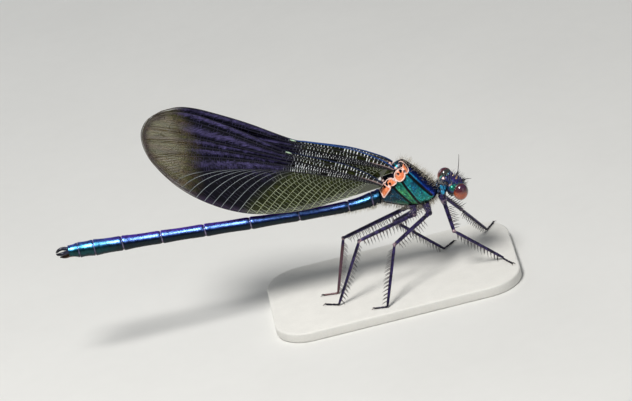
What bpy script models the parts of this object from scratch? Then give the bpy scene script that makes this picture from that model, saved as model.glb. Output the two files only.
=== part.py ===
"""A male banded demoiselle, a damselfly, life size and standing on a flat plate.

X runs forward to the head, Y to the insect's left and Z up from the floor. Sizes below are
millimetres, measured from a reference point in the middle of the thorax, and place_model brings
the finished nodes to metres with the origin under the plate, below the middle of the model.
"""

import math

import bmesh
import bpy
from mathutils import Matrix, Vector

MM = 0.001
GAP = 0.3  # between neighbouring nodes
STANCE_HEIGHT = 9.47  # of the reference point above the soles of the feet

# Stand: a plate under all six feet that reaches back beneath the abdomen, where the weight lies.
STAND_CENTRE = Vector((-2.9, 0.75, 0))
STAND_HALF_LENGTH = 14.3
STAND_HALF_WIDTH = 8.7
STAND_THICKNESS = 1.2
STAND_CORNER = 4.0
STAND_CORNER_STEPS = 7
STAND_EDGE = 0.25  # width of the slope round the top and the bottom
STAND_CLEARANCE = 0.1  # between the soles and the plate

# Abdomen: ten segments, listed from the thorax to the tail as length and radius at the rear end.
ABDOMEN_START = -2.15
ABDOMEN_BASE_RADIUS = 0.86
SEGMENTS = (
    ("abdomen_s01", 0.90, 0.87),
    ("abdomen_s02", 2.76, 0.67),
    ("abdomen_s03", 5.70, 0.65),
    ("abdomen_s04", 5.54, 0.73),
    ("abdomen_s05", 5.19, 0.74),
    ("abdomen_s06", 4.93, 0.76),
    ("abdomen_s07", 4.44, 0.84),
    ("abdomen_s08", 3.21, 0.92),
    ("abdomen_s09", 1.77, 0.86),
    ("abdomen_s10", 1.15, 0.66),
)
ABDOMEN_RISE = 0.1  # upward for each millimetre towards the tail
ABDOMEN_BASE_HEIGHT = 0.2
ABDOMEN_DIP = 0.9
ABDOMEN_DIP_LENGTH = 2.5
ABDOMEN_SIDES = 14

# Pterothorax: cross-sections from rear to front as x, lowest z, highest z, half width, roof.
# The roof is the share by which the top of the section is narrower than its middle.
THORAX_SECTIONS = (
    (-2.05, 0.42, 1.95, 0.72, 0.10),
    (-1.50, 0.10, 3.00, 1.10, 0.30),
    (-0.60, -0.30, 3.95, 1.50, 0.42),
    (0.40, -0.72, 4.72, 1.78, 0.45),
    (1.30, -1.00, 4.80, 1.88, 0.52),
    (2.20, -1.10, 3.90, 1.86, 0.60),
    (3.00, -1.06, 2.84, 1.72, 0.62),
    (3.65, -0.85, 1.94, 1.42, 0.50),
    (4.05, -0.55, 1.40, 1.02, 0.30),
)
THORAX_SIDES = 20
PROTHORAX_SECTIONS = (
    (4.38, -0.55, 1.12, 0.82, 0.10),
    (4.60, -0.72, 1.34, 0.98, 0.20),
    (4.90, -0.66, 1.18, 0.96, 0.20),
    (5.15, -0.50, 1.00, 0.80, 0.15),
    (5.38, -0.22, 0.82, 0.48, 0.05),
    (5.95, -0.12, 0.70, 0.36, 0.00),
)
PROTHORAX_SIDES = 16

# Head: turned to its left and tipped with its left side up. Its own axes run like the body's.
HEAD_CENTRE = Vector((6.30, 0.28, 0.34))
HEAD_YAW = math.radians(23.0)
HEAD_ROLL = math.radians(17.0)
HEAD_PITCH = math.radians(8.0)
EYE_OFFSET = Vector((0.05, 1.66, -0.05))
EYE_AXES = Vector((0.81, 0.82, 0.97))
EYE_RINGS = 10
EYE_SIDES = 16
# Head capsule: cross-sections from the middle outwards as y, half length, half height.
CAPSULE_SECTIONS = ((0.0, 0.78, 0.76), (0.6, 0.82, 0.82), (1.2, 0.86, 0.88), (1.75, 0.62, 0.66))
CAPSULE_SIDES = 16
# Face: frons, clypeus and labrum as x, z of the middle, half width, half height.
FACE_SECTIONS = (
    (0.30, -0.05, 0.92, 0.72),
    (0.85, -0.12, 0.92, 0.66),
    (1.18, -0.24, 0.80, 0.52),
    (1.36, -0.36, 0.52, 0.32),
)
# Mouthparts: labium and mandibles under the head as z, x of the middle, half length, half width.
MOUTH_SECTIONS = ((-0.60, 0.34, 0.46, 0.62), (-0.98, 0.34, 0.50, 0.60), (-1.34, 0.24, 0.34, 0.36))
OCELLI = ((0.42, 0.0), (0.16, 0.34), (0.16, -0.34))
OCELLUS_RADIUS = 0.17
# Antenna, in the head's axes: a thick scape, then a whip that reaches its own way on each side.
ANTENNA_BASE = Vector((0.80, 0.62, 0.28))
SCAPE = Vector((0.25, 0.12, 0.34))
ANTENNA_REACH = {"left": Vector((0.47, 0.76, 1.98)), "right": Vector((-0.45, 1.95, 1.55))}
ANTENNA_RADII = (0.26, 0.25, 0.18, 0.12, 0.07)

# Wings: the outline of one wing as distance from its root and height towards the leading edge.
LEADING_EDGE = (
    (0.45, 0.30),
    (1.6, 0.62),
    (5.2, 1.34),
    (9.8, 1.55),
    (12.1, 1.70),
    (17.1, 2.97),
    (21.0, 3.72),
    (23.5, 4.06),
    (25.4, 3.96),
    (27.1, 3.30),
)
MARGIN = (
    (27.1, 3.30),
    (28.2, 2.35),
    (28.65, 1.10),
    (28.5, -0.15),
    (27.7, -1.70),
    (26.2, -3.30),
    (23.3, -5.15),
    (20.0, -6.35),
    (16.4, -6.90),
    (12.8, -6.65),
    (8.4, -5.30),
    (4.7, -3.45),
    (2.3, -2.10),
)
WING_FOOT = (0.45, -0.95)  # where the hind margin meets the root
VEINS = (0.06, 0.14, 0.22, 0.31, 0.40, 0.49, 0.58, 0.67, 0.77, 0.88)
VEIN_FLANK = 0.022
VEIN_COLUMNS = 14
VEIN_RIDGE = 0.08
COSTA_RIDGE = 0.08
MEMBRANE_HALF = 0.24
MEMBRANE_THINNING = 0.10
ROOT_SETTLE = 3.0  # length over which a wing comes from its root to its own plane
# Each pair: root x, z, the angle above the horizontal, size, y at the root and y of the plane.
WING_PAIRS = {
    "forewing": (0.20, 4.62, math.radians(22.2), 1.0, 0.80, 0.47),
    "hindwing": (-1.55, 3.30, math.radians(26.6), 0.97, 1.12, 1.41),
}
LEFT_WING_DROP = math.radians(1.2)

# Wing roots: orange sclerites over the side of the thorax as x, z, half length, half height, turn.
WING_ROOTS = {
    "forewing": (0.80, 3.66, 0.64, 1.14, math.radians(36.0)),
    "hindwing": (-1.05, 2.46, 0.60, 1.20, math.radians(47.0)),
}
ROOT_OUTREACH = 0.55  # how far a root stands out past the side of the thorax

# Legs: x, y, z of the coxa's top and foot and of the knee, then x, y of the ankle and the claws.
LEGS = {
    "front_right": ((4.72, -0.50, -0.35), (4.78, -0.92, -1.05), (5.08, -2.20, -4.37),
                    (9.79, -1.68), (10.60, -3.40)),
    "middle_right": ((2.70, -0.95, -0.70), (2.86, -1.28, -1.85), (-1.86, -4.20, -3.26),
                     (-4.28, -6.60), (-5.66, -6.20)),
    "hind_right": ((1.25, -0.85, -0.50), (1.15, -1.15, -1.60), (-5.60, -2.55, -2.51),
                   (-9.51, -3.08), (-10.90, -2.20)),
    "front_left": ((4.72, 0.50, -0.35), (4.78, 0.92, -1.05), (6.56, 2.60, -4.21),
                   (9.00, 6.50), (10.00, 8.10)),
    "middle_left": ((2.70, 0.95, -0.70), (2.86, 1.28, -1.85), (-1.14, 4.00, -4.32),
                    (3.60, 4.40), (4.90, 5.70)),
    "hind_left": ((0.95, 0.85, -0.50), (0.80, 1.15, -1.60), (-7.25, 2.20, -3.95),
                  (-9.30, -0.10), (-10.90, 0.30)),
}
COXA_RADII = (0.52, 0.34)
FEMUR_RADII = (0.27, 0.25)
TIBIA_RADII = (0.25, 0.25)
TARSUS_HALF_WIDTH = 0.25
TARSUS_HEIGHT = 0.46
TARSUS_TIP_HEIGHT = 0.28
CLAW_LENGTH = 0.55
CLAW_SPREAD = math.radians(32.0)
LIMB_SIDES = 8
SPINE_SPACING = 0.9
SPINE_MARGIN = 0.9
SPINE_LENGTH = 1.15
SPINE_RADIUS = 0.24
SPINE_SPREAD = math.radians(34.0)
SPINE_SIDES = 4
# Where each leg's spines point, on the femur and on the tibia, and how far they lean to the foot.
SPINE_SIDE = {
    "front": ((1, 0, -0.4), (-0.4, 0, -1)),
    "middle": ((0.3, 0, -1), (-1, 0, -0.3)),
    "hind": ((0.3, 0, -1), (1, 0, -0.3)),
}
FEMUR_LEAN = 0.0
TIBIA_LEAN = 0.55
KNEE_CUT = 0.36
HIP_CUT = 0.39

# Claspers at the tail, on the left side, as x, y, z from the end of the abdomen, and radius.
CERCUS_POINTS = (
    (0.45, 0.34, 0.14, 0.26),
    (-0.10, 0.52, 0.20, 0.27),
    (-0.60, 0.62, 0.22, 0.25),
    (-0.98, 0.46, 0.17, 0.20),
    (-1.14, 0.28, 0.13, 0.10),
)
PARAPROCT_POINTS = (
    (0.40, 0.26, -0.36, 0.24),
    (-0.30, 0.30, -0.42, 0.22),
    (-0.85, 0.24, -0.34, 0.12),
)

# Finishes as colour, roughness and metallic value.
FINISHES = {
    "abdomen_blue": ((0.03, 0.05, 0.35), 0.25, 0.9),
    "thorax_green": ((0.02, 0.22, 0.22), 0.3, 0.9),
    "head_blue": ((0.02, 0.08, 0.25), 0.3, 0.9),
    "eye_red": ((0.30, 0.05, 0.02), 0.15, 0.0),
    "root_orange": ((0.80, 0.28, 0.12), 0.5, 0.0),
    "wing_dark": ((0.03, 0.02, 0.08), 0.35, 0.2),
    "leg_black": ((0.03, 0.02, 0.06), 0.35, 0.1),
    "stand_pale": ((0.75, 0.74, 0.70), 0.6, 0.0),
}


def clear_scene():
    for old in list(bpy.data.objects):
        bpy.data.objects.remove(old)


def material(name, finish):
    colour, roughness, metallic = FINISHES[finish]
    made = bpy.data.materials.new(name)
    made.use_nodes = True
    shader = made.node_tree.nodes["Principled BSDF"]
    shader.inputs["Base Color"].default_value = (*colour, 1.0)
    shader.inputs["Roughness"].default_value = roughness
    shader.inputs["Metallic"].default_value = metallic
    return made


def add_object(name, mesh, finish):
    mesh.materials.clear()
    mesh.materials.append(material(name, finish))
    made = bpy.data.objects.new(name, mesh)
    bpy.context.scene.collection.objects.link(made)
    return made


def mesh_of(form, name="form"):
    """Closes a bmesh with its faces pointing outwards and turns it into a mesh."""
    bmesh.ops.recalc_face_normals(form, faces=form.faces)
    mesh = bpy.data.meshes.new(name)
    form.to_mesh(mesh)
    form.free()
    return mesh


def loft(rings):
    """A closed mesh through rings of equally many points, with a flat cap at either end."""
    form = bmesh.new()
    rows = [[form.verts.new(point) for point in ring] for ring in rings]
    for first, second in zip(rows, rows[1:]):
        for i in range(len(first)):
            j = (i + 1) % len(first)
            form.faces.new((first[i], first[j], second[j], second[i]))
    form.faces.new(rows[0])
    form.faces.new(rows[-1])
    return mesh_of(form)


def oval(centre, across, upward, half_width, half_height, sides, roof=0.0):
    """One ring. The roof narrows its upper half, as the top of a thorax is narrower."""
    points = []
    for i in range(sides):
        angle = 2 * math.pi * (i + 0.5) / sides
        rise = math.sin(angle)
        width = half_width * math.cos(angle) * (1 - roof * max(0.0, rise) ** 1.5)
        points.append(centre + across * width + upward * (half_height * rise))
    return points


def tube(points, radii, sides):
    """A closed tube along points, each ring square to the path there and not turned about it."""
    rings = []
    first_step = points[1] - points[0]
    across = first_step.cross(Vector((0, 0, 1) if abs(first_step.z) < 0.9 * first_step.length else (1, 0, 0)))
    for i, point in enumerate(points):
        before = points[max(i - 1, 0)]
        after = points[min(i + 1, len(points) - 1)]
        along = (after - before).normalized()
        across = (across - along * across.dot(along)).normalized()
        rings.append(oval(point, across, across.cross(along), radii[i], radii[i], sides))
    return loft(rings)


def ellipsoid(centre, axes, turn=None):
    form = bmesh.new()
    bmesh.ops.create_uvsphere(form, u_segments=EYE_SIDES, v_segments=EYE_RINGS, radius=1.0)
    placing = Matrix.Translation(centre) @ (turn or Matrix.Identity(4)) @ Matrix.Diagonal((*axes, 1.0))
    bmesh.ops.transform(form, matrix=placing, verts=form.verts)
    return mesh_of(form)


def combine(base, others, operation):
    """Unites the base mesh with the others, or cuts them from it, by one exact Boolean."""
    target = bpy.data.objects.new("target", base)
    bpy.context.scene.collection.objects.link(target)
    tools = bpy.data.collections.new("tools")
    for mesh in others:
        tools.objects.link(bpy.data.objects.new("tool", mesh))
    step = target.modifiers.new("join", "BOOLEAN")
    step.operand_type = "COLLECTION"
    step.collection = tools
    step.operation = operation
    step.solver = "EXACT"
    bpy.context.view_layer.update()
    graph = bpy.context.evaluated_depsgraph_get()
    result = bpy.data.meshes.new_from_object(target.evaluated_get(graph))
    for helper in [target, *tools.objects]:
        bpy.data.objects.remove(helper)
    bpy.data.collections.remove(tools)
    return largest_shell(result)


def shell_volume(faces):
    volume = 0.0
    for face in faces:
        corners = [v.co for v in face.verts]
        for second, third in zip(corners[1:], corners[2:]):
            volume += corners[0].dot(second.cross(third)) / 6
    return volume


def largest_shell(mesh):
    """Keeps only the largest closed surface of a mesh, and splits its faces into triangles."""
    form = bmesh.new()
    form.from_mesh(mesh)
    bmesh.ops.triangulate(form, faces=form.faces)
    left = set(form.faces)
    shells = []
    while left:
        shell, edge_of_search = set(), [left.pop()]
        while edge_of_search:
            face = edge_of_search.pop()
            shell.add(face)
            for edge in face.edges:
                for other in edge.link_faces:
                    if other in left:
                        left.discard(other)
                        edge_of_search.append(other)
        shells.append(shell)
    shells.sort(key=lambda shell: abs(shell_volume(shell)))
    scraps = [face for shell in shells[:-1] for face in shell]
    bmesh.ops.delete(form, geom=scraps, context="FACES")
    form.to_mesh(mesh)
    form.free()
    return mesh


def upright_sections(sections, sides, grow=0.0):
    """Rings across the body, each from its lowest to its highest point, grown all round."""
    rings = []
    last = len(sections) - 1
    for i, (x, low, high, half_width, roof) in enumerate(sections):
        shift = -grow if i == 0 else grow if i == last else 0.0
        centre = Vector((x + shift, 0, (low + high) / 2))
        rings.append(oval(centre, Vector((0, 1, 0)), Vector((0, 0, 1)), half_width + grow,
                          (high - low) / 2 + grow, sides, roof))
    return loft(rings)


def thorax_mesh(grow=0.0):
    return upright_sections(THORAX_SECTIONS, THORAX_SIDES, grow)


def prothorax_mesh(grow=0.0):
    return upright_sections(PROTHORAX_SECTIONS, PROTHORAX_SIDES, grow)


def abdomen_height(distance):
    """Height of the abdomen's middle line at a distance behind its start."""
    dip = ABDOMEN_DIP * math.exp(-distance / ABDOMEN_DIP_LENGTH)
    return ABDOMEN_RISE * distance + ABDOMEN_BASE_HEIGHT + dip


def abdomen_ring(distance, radius):
    step = 0.01
    slope = (abdomen_height(distance + step) - abdomen_height(distance)) / step
    upward = Vector((slope, 0, 1)).normalized()
    centre = Vector((ABDOMEN_START - distance, 0, abdomen_height(distance)))
    return oval(centre, Vector((0, 1, 0)), upward, radius, radius, ABDOMEN_SIDES)


def build_abdomen():
    """Ten segments, each a little waisted and flared at its ends."""
    start = 0.0
    front_radius = ABDOMEN_BASE_RADIUS
    for name, length, rear_radius in SEGMENTS:
        first = start + GAP / 2
        clear = length - GAP
        rings = []
        for share, flare in ((0.0, 0.93), (0.08, 1.0), (0.45, 0.97), (0.9, 1.0), (1.0, 0.95)):
            radius = front_radius + (rear_radius - front_radius) * share
            rings.append(abdomen_ring(first + clear * share, radius * flare))
        add_object(name, loft(rings), "abdomen_blue")
        start += length
        front_radius = rear_radius
    return start


def build_claspers(abdomen_length):
    """Two pincer-like cerci above, and two short paraprocts below, at the tail."""
    tail = Vector((ABDOMEN_START - abdomen_length - GAP, 0, abdomen_height(abdomen_length)))
    cut = loft([abdomen_ring(abdomen_length - SEGMENTS[-1][1] - GAP, 1.4),
                abdomen_ring(abdomen_length + GAP / 2, 1.4)])
    for side, sign in (("left", 1), ("right", -1)):
        for part, points in (("cercus", CERCUS_POINTS), ("paraproct", PARAPROCT_POINTS)):
            path = [tail + Vector((x, sign * y, z)) for x, y, z, _ in points]
            clasper = tube(path, [radius for *_, radius in points], LIMB_SIDES)
            trimmed = combine(clasper, [cut.copy()], "DIFFERENCE")
            add_object(f"{part}_{side}", trimmed, "leg_black")


def head_placing():
    turn = (Matrix.Rotation(HEAD_YAW, 4, "Z") @ Matrix.Rotation(HEAD_ROLL, 4, "X")
            @ Matrix.Rotation(HEAD_PITCH, 4, "Y"))
    return Matrix.Translation(HEAD_CENTRE) @ turn


def capsule_mesh(grow=0.0):
    """The head between the eyes, lofted from side to side."""
    sections = [(-y, length, height) for y, length, height in reversed(CAPSULE_SECTIONS[1:])]
    sections += CAPSULE_SECTIONS
    rings = [oval(Vector((0, y, 0)), Vector((1, 0, 0)), Vector((0, 0, 1)), length + grow,
                  height + grow, CAPSULE_SIDES) for y, length, height in sections]
    return loft(rings)


def face_mesh(grow=0.0):
    rings = []
    last = len(FACE_SECTIONS) - 1
    for i, (x, z, half_width, half_height) in enumerate(FACE_SECTIONS):
        centre = Vector((x + (grow if i == last else 0.0), 0, z))
        rings.append(oval(centre, Vector((0, 1, 0)), Vector((0, 0, 1)), half_width + grow,
                          half_height + grow, CAPSULE_SIDES))
    return loft(rings)


def mouth_mesh():
    rings = [oval(Vector((x, 0, z)), Vector((1, 0, 0)), Vector((0, 1, 0)), half_length, half_width,
                  CAPSULE_SIDES) for z, x, half_length, half_width in MOUTH_SECTIONS]
    return loft(rings)


def eye_mesh(sign, grow=0.0):
    centre = Vector((EYE_OFFSET.x, sign * EYE_OFFSET.y, EYE_OFFSET.z))
    return ellipsoid(centre, EYE_AXES + Vector((grow, grow, grow)))


def build_head():
    """Capsule and face in one, with the eyes, mouthparts and antennae as nodes of their own."""
    placing = head_placing()
    ocelli = []
    for x, y in OCELLI:
        centre = Vector((x, y, CAPSULE_SECTIONS[0][2] - 0.04))
        bump = tube([centre - Vector((0, 0, 0.3)), centre, centre + Vector((0, 0, 0.1))],
                    [OCELLUS_RADIUS, OCELLUS_RADIUS, OCELLUS_RADIUS * 0.5], LIMB_SIDES)
        ocelli.append(bump)
    head = combine(capsule_mesh(), [face_mesh(), *ocelli], "UNION")
    head = combine(head, [eye_mesh(1, GAP), eye_mesh(-1, GAP)], "DIFFERENCE")
    pieces = {"head": (head, "head_blue")}
    for side, sign in (("left", 1), ("right", -1)):
        pieces[f"eye_{side}"] = (eye_mesh(sign), "eye_red")
        elbow = ANTENNA_BASE + SCAPE
        path = [ANTENNA_BASE] + [elbow + ANTENNA_REACH[side] * share for share in (0, 0.3, 0.65, 1)]
        path = [Vector((point.x, sign * point.y, point.z)) for point in path]
        feeler = tube(path, ANTENNA_RADII, LIMB_SIDES)
        around = [capsule_mesh(GAP), face_mesh(GAP), eye_mesh(sign, GAP)]
        pieces[f"antenna_{side}"] = (combine(feeler, around, "DIFFERENCE"), "leg_black")
    around = [capsule_mesh(GAP), face_mesh(GAP), eye_mesh(1, GAP), eye_mesh(-1, GAP)]
    pieces["mouthparts"] = (combine(mouth_mesh(), around, "DIFFERENCE"), "leg_black")
    for name, (mesh, finish) in pieces.items():
        mesh.transform(placing)
        add_object(name, mesh, finish)


def build_thorax():
    """The pterothorax, and the prothorax with the slim neck in front of it."""
    add_object("pterothorax", thorax_mesh(), "thorax_green")
    placing = head_placing()
    around = [capsule_mesh(GAP), face_mesh(GAP), eye_mesh(1, GAP), eye_mesh(-1, GAP)]
    for mesh in around:
        mesh.transform(placing)
    prothorax = combine(prothorax_mesh(), [thorax_mesh(GAP), *around], "DIFFERENCE")
    add_object("prothorax_neck", prothorax, "thorax_green")


def smooth_through(points, count):
    """Points at even steps of length on a Catmull-Rom curve through the given ones."""
    places = [Vector(p) for p in points]
    ends = [2 * places[0] - places[1], *places, 2 * places[-1] - places[-2]]
    fine = []
    for a, b, c, d in zip(ends, ends[1:], ends[2:], ends[3:]):
        for k in range(12):
            t = k / 12
            fine.append(0.5 * (2 * b + (c - a) * t + (2 * a - 5 * b + 4 * c - d) * t * t
                               + (3 * b - a - 3 * c + d) * t ** 3))
    fine.append(places[-1])
    lengths = [0.0]
    for a, b in zip(fine, fine[1:]):
        lengths.append(lengths[-1] + (b - a).length)
    chosen = []
    k = 0
    for i in range(count):
        wanted = lengths[-1] * i / (count - 1)
        while k < len(fine) - 2 and lengths[k + 1] < wanted:
            k += 1
        share = (wanted - lengths[k]) / (lengths[k + 1] - lengths[k])
        chosen.append(fine[k].lerp(fine[k + 1], min(share, 1.0)))
    return chosen


def margin_point(margin, share):
    """The point at a share of the way round the wing's margin, from tip to hind edge."""
    place = share * (len(margin) - 1)
    k = min(int(place), len(margin) - 2)
    return margin[k].lerp(margin[k + 1], place - k)


def vein_bow(share):
    """Height of the point that a vein bends towards, from the front vein to the hindmost."""
    return 1.9 - 4.2 * share if share < 0.5 else -0.2 - 2.4 * (share - 0.5)


def vein_row(share, margin, leading):
    """Points of the vein at a share across the wing, from its root to the margin."""
    top, foot = Vector(LEADING_EDGE[0]), Vector(WING_FOOT)
    root = top.lerp(foot, share)
    end = margin_point(margin, share)
    if share == 0:
        return leading
    if share == 1:
        return [root.lerp(end, i / (VEIN_COLUMNS - 1)) for i in range(VEIN_COLUMNS)]
    bend = Vector((0.62 * end.x + 0.3, vein_bow(share)))
    row = []
    for i in range(VEIN_COLUMNS):
        t = i / (VEIN_COLUMNS - 1)
        row.append(root * (1 - t) ** 2 + bend * 2 * t * (1 - t) + end * t * t)
    return row


def wing_rows():
    """Rows across the wing as (share, ridge): three rows a vein, with its crest in the middle."""
    rows = [(0.0, COSTA_RIDGE), (VEIN_FLANK, 0.0)]
    for share in VEINS:
        rows += [(share - VEIN_FLANK, 0.0), (share, VEIN_RIDGE), (share + VEIN_FLANK, 0.0)]
    return [*rows, (1.0, 0.0)]


def wing_mesh():
    """One wing in its own plane, x along it and z towards its leading edge, veins as ridges."""
    margin = smooth_through(MARGIN, 60)
    leading = smooth_through(LEADING_EDGE, VEIN_COLUMNS)
    rows = wing_rows()
    flat = [vein_row(share, margin, leading) for share, _ in rows]
    form = bmesh.new()
    faces = []
    for side in (-1, 1):
        grid = []
        for (_, ridge), points in zip(rows, flat):
            line = []
            for i, point in enumerate(points):
                t = i / (VEIN_COLUMNS - 1)
                crest = ridge * (1 - 0.6 * t) * min(1.0, 4 * t)
                half = MEMBRANE_HALF - MEMBRANE_THINNING * t * t + crest
                line.append(form.verts.new((point.x, side * half, point.y)))
            grid.append(line)
        faces.append(grid)
    near, far = faces
    for i in range(len(rows) - 1):
        for j in range(VEIN_COLUMNS - 1):
            for grid in (near, far):
                a, b = grid[i][j], grid[i][j + 1]
                c, d = grid[i + 1][j + 1], grid[i + 1][j]
                form.faces.new((a, b, c))
                form.faces.new((a, c, d))
    rim = [(0, j) for j in range(VEIN_COLUMNS)]
    rim += [(i, VEIN_COLUMNS - 1) for i in range(1, len(rows))]
    rim += [(len(rows) - 1, j) for j in range(VEIN_COLUMNS - 2, -1, -1)]
    rim += [(i, 0) for i in range(len(rows) - 2, 0, -1)]
    for (i, j), (k, m) in zip(rim, rim[1:] + rim[:1]):
        form.faces.new((near[i][j], near[k][m], far[k][m], far[i][j]))
    return mesh_of(form)


def set_wing(mesh, pair, sign):
    """Stands a wing up over the abdomen, on its own side and in its own layer."""
    x, z, angle, size, root_y, plane_y = WING_PAIRS[pair]
    if sign > 0:
        angle -= LEFT_WING_DROP
    along = Vector((-math.cos(angle), 0, math.sin(angle)))
    upward = Vector((math.sin(angle), 0, math.cos(angle)))
    for vertex in mesh.vertices:
        reach, depth, height = vertex.co
        layer = plane_y + (root_y - plane_y) * math.exp(-reach / ROOT_SETTLE)
        place = Vector((x, sign * layer + depth, z)) + along * (reach * size) + upward * (height * size)
        vertex.co = place
    return mesh


def root_mesh(pair, sign, grow=0.0):
    """A lens-shaped sclerite that stands out of the side of the thorax under a wing."""
    x, z, half_length, half_height, turn = WING_ROOTS[pair]
    centre = Vector((x, sign * (WING_PAIRS[pair][4] + 0.28), z))
    axes = Vector((half_length + grow, ROOT_OUTREACH + grow, half_height + grow))
    return ellipsoid(centre, axes, Matrix.Rotation(turn, 4, "Y"))


def build_wings():
    for pair in WING_PAIRS:
        for side, sign in (("left", 1), ("right", -1)):
            roots = [root_mesh(other, sign, GAP) for other in WING_PAIRS]
            around = [thorax_mesh(GAP), *roots]
            wing = combine(set_wing(wing_mesh(), pair, sign), around, "DIFFERENCE")
            add_object(f"{pair}_{side}", wing, "wing_dark")
            root = combine(root_mesh(pair, sign), [thorax_mesh(GAP)], "DIFFERENCE")
            add_object(f"{pair}_root_{side}", root, "root_orange")


def spine_mesh(foot, reach):
    """A tapered spine with its root sunk in the limb."""
    points = [foot, foot + reach * (SPINE_LENGTH * 0.5), foot + reach * SPINE_LENGTH]
    return tube(points, [SPINE_RADIUS, SPINE_RADIUS * 0.7, SPINE_RADIUS * 0.2], SPINE_SIDES)


def spiny_limb(start, end, radii, facing, lean):
    """A limb segment with two alternating rows of spines on the side that faces that way."""
    facing = Vector(facing)
    along = (end - start).normalized()
    length = (end - start).length
    path = [start + along * (length * share) for share in (0.0, 0.06, 0.5, 0.94, 1.0)]
    thick = [radii[0] * 0.8, radii[0], (radii[0] + radii[1]) / 2, radii[1], radii[1] * 0.8]
    limb = tube(path, thick, LIMB_SIDES)
    outward = (facing - along * facing.dot(along)).normalized()
    spines = []
    count = int((length - SPINE_MARGIN - 0.2) / SPINE_SPACING)
    for i in range(count):
        turn = Matrix.Rotation(SPINE_SPREAD * (1 if i % 2 else -1), 3, along)
        reach = (turn @ outward + along * lean).normalized()
        spines.append(spine_mesh(start + along * (SPINE_MARGIN + i * SPINE_SPACING), reach))
    return combine(limb, spines, "UNION")


def shortened(start, end, cut_start, cut_end):
    """The same straight stretch, cut back at both ends to leave room at the joints."""
    along = (end - start).normalized()
    return start + along * cut_start, end - along * cut_end


def tarsus_mesh(ankle, claws):
    """A foot that lies flat on the plate and ends in two claws."""
    sole = -STANCE_HEIGHT
    heel = Vector((ankle.x, ankle.y, 0))
    toe = Vector((claws[0], claws[1], 0))
    along = (toe - heel).normalized()
    across = Vector((-along.y, along.x, 0))
    length = (toe - heel).length

    def slab(start, heading, reach, half_widths, heights):
        rings = []
        side = Vector((-heading.y, heading.x, 0))
        for share, half_width, height in zip((0.0, 0.5, 1.0), half_widths, heights):
            middle = start + heading * (reach * share)
            ring = []
            for width, lift in ((-1, 0), (1, 0), (1, 0.6), (0.5, 1), (-0.5, 1), (-1, 0.6)):
                ring.append(Vector((0, 0, sole + lift * height)) + middle + side * (width * half_width))
            rings.append(ring)
        return loft(rings)

    wide, tall = TARSUS_HALF_WIDTH, TARSUS_HEIGHT
    foot = slab(heel - along * 0.15, along, length - 0.25, (wide, wide * 0.95, wide),
                (tall, tall * 0.85, TARSUS_TIP_HEIGHT * 1.2))
    claw_meshes = []
    for sign in (1, -1):
        heading = (along * math.cos(CLAW_SPREAD) + across * (sign * math.sin(CLAW_SPREAD)))
        start = heel + along * (length - 0.62) + across * (sign * 0.06)
        claw_meshes.append(slab(start, heading, CLAW_LENGTH, (0.14, 0.12, 0.05),
                                (TARSUS_TIP_HEIGHT, TARSUS_TIP_HEIGHT * 0.9, 0.12)))
    return combine(foot, claw_meshes, "UNION")


def build_leg(name, points):
    top, hip, knee = [Vector(p) for p in points[:3]]
    ankle = Vector((*points[3], TARSUS_HEIGHT - STANCE_HEIGHT))
    claws = points[4]
    coxa = tube([top, top.lerp(hip, 0.55), hip], [COXA_RADII[0], COXA_RADII[0] * 0.85, COXA_RADII[1]],
                LIMB_SIDES)
    around = [thorax_mesh(GAP)]
    if name.startswith("front"):
        around.append(prothorax_mesh(GAP))
    femur_side, tibia_side = SPINE_SIDE[name.split("_")[0]]
    start, end = shortened(hip, knee, HIP_CUT, GAP / 2)
    femur = spiny_limb(start, end, FEMUR_RADII, femur_side, FEMUR_LEAN)
    steepness = abs((ankle - knee).normalized().z)
    ankle_cut = (GAP + TIBIA_RADII[1] * math.sqrt(1 - steepness ** 2)) / steepness
    start, end = shortened(knee, ankle, KNEE_CUT, ankle_cut)
    tibia = spiny_limb(start, end, TIBIA_RADII, tibia_side, TIBIA_LEAN)
    add_object(f"{name}_coxa", combine(coxa, around, "DIFFERENCE"), "leg_black")
    add_object(f"{name}_femur", femur, "leg_black")
    add_object(f"{name}_tibia", tibia, "leg_black")
    add_object(f"{name}_tarsus", tarsus_mesh(ankle, claws), "leg_black")


def plate_ring(height, inset):
    """The plate's outline at one height: a rectangle with round corners, drawn in all round."""
    points = []
    half_length, half_width = STAND_HALF_LENGTH - inset, STAND_HALF_WIDTH - inset
    radius = STAND_CORNER - inset
    for corner, (x_sign, y_sign) in enumerate(((1, 1), (-1, 1), (-1, -1), (1, -1))):
        middle = Vector((x_sign * (half_length - radius), y_sign * (half_width - radius), height))
        for step in range(STAND_CORNER_STEPS):
            angle = math.pi / 2 * (corner + step / (STAND_CORNER_STEPS - 1))
            reach = Vector((math.cos(angle), math.sin(angle), 0)) * radius
            points.append(STAND_CENTRE + middle + reach)
    return points


def build_stand():
    """A flat plate with sloped edges, without which the long abdomen would tip the model over."""
    top = -STANCE_HEIGHT - STAND_CLEARANCE
    foot = top - STAND_THICKNESS
    rings = [plate_ring(foot, STAND_EDGE), plate_ring(foot + STAND_EDGE, 0.0),
             plate_ring(top - STAND_EDGE, 0.0), plate_ring(top, STAND_EDGE)]
    add_object("stand_base", loft(rings), "stand_pale")


def place_model():
    """Brings every node to metres, with the origin at floor level under the model's middle."""
    nodes = list(bpy.context.scene.collection.objects)
    corners = [v.co for node in nodes for v in node.data.vertices]
    middle_x = (min(c.x for c in corners) + max(c.x for c in corners)) / 2
    middle_y = (min(c.y for c in corners) + max(c.y for c in corners)) / 2
    floor = -STANCE_HEIGHT - STAND_CLEARANCE - STAND_THICKNESS
    placing = Matrix.Scale(MM, 4) @ Matrix.Translation((-middle_x, -middle_y, -floor))
    for node in nodes:
        node.data.transform(placing)
        node.data.shade_smooth()
        node.data.set_sharp_from_angle(angle=math.radians(40))
    print("middle of the model", round(middle_x, 4), round(middle_y, 4))


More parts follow.
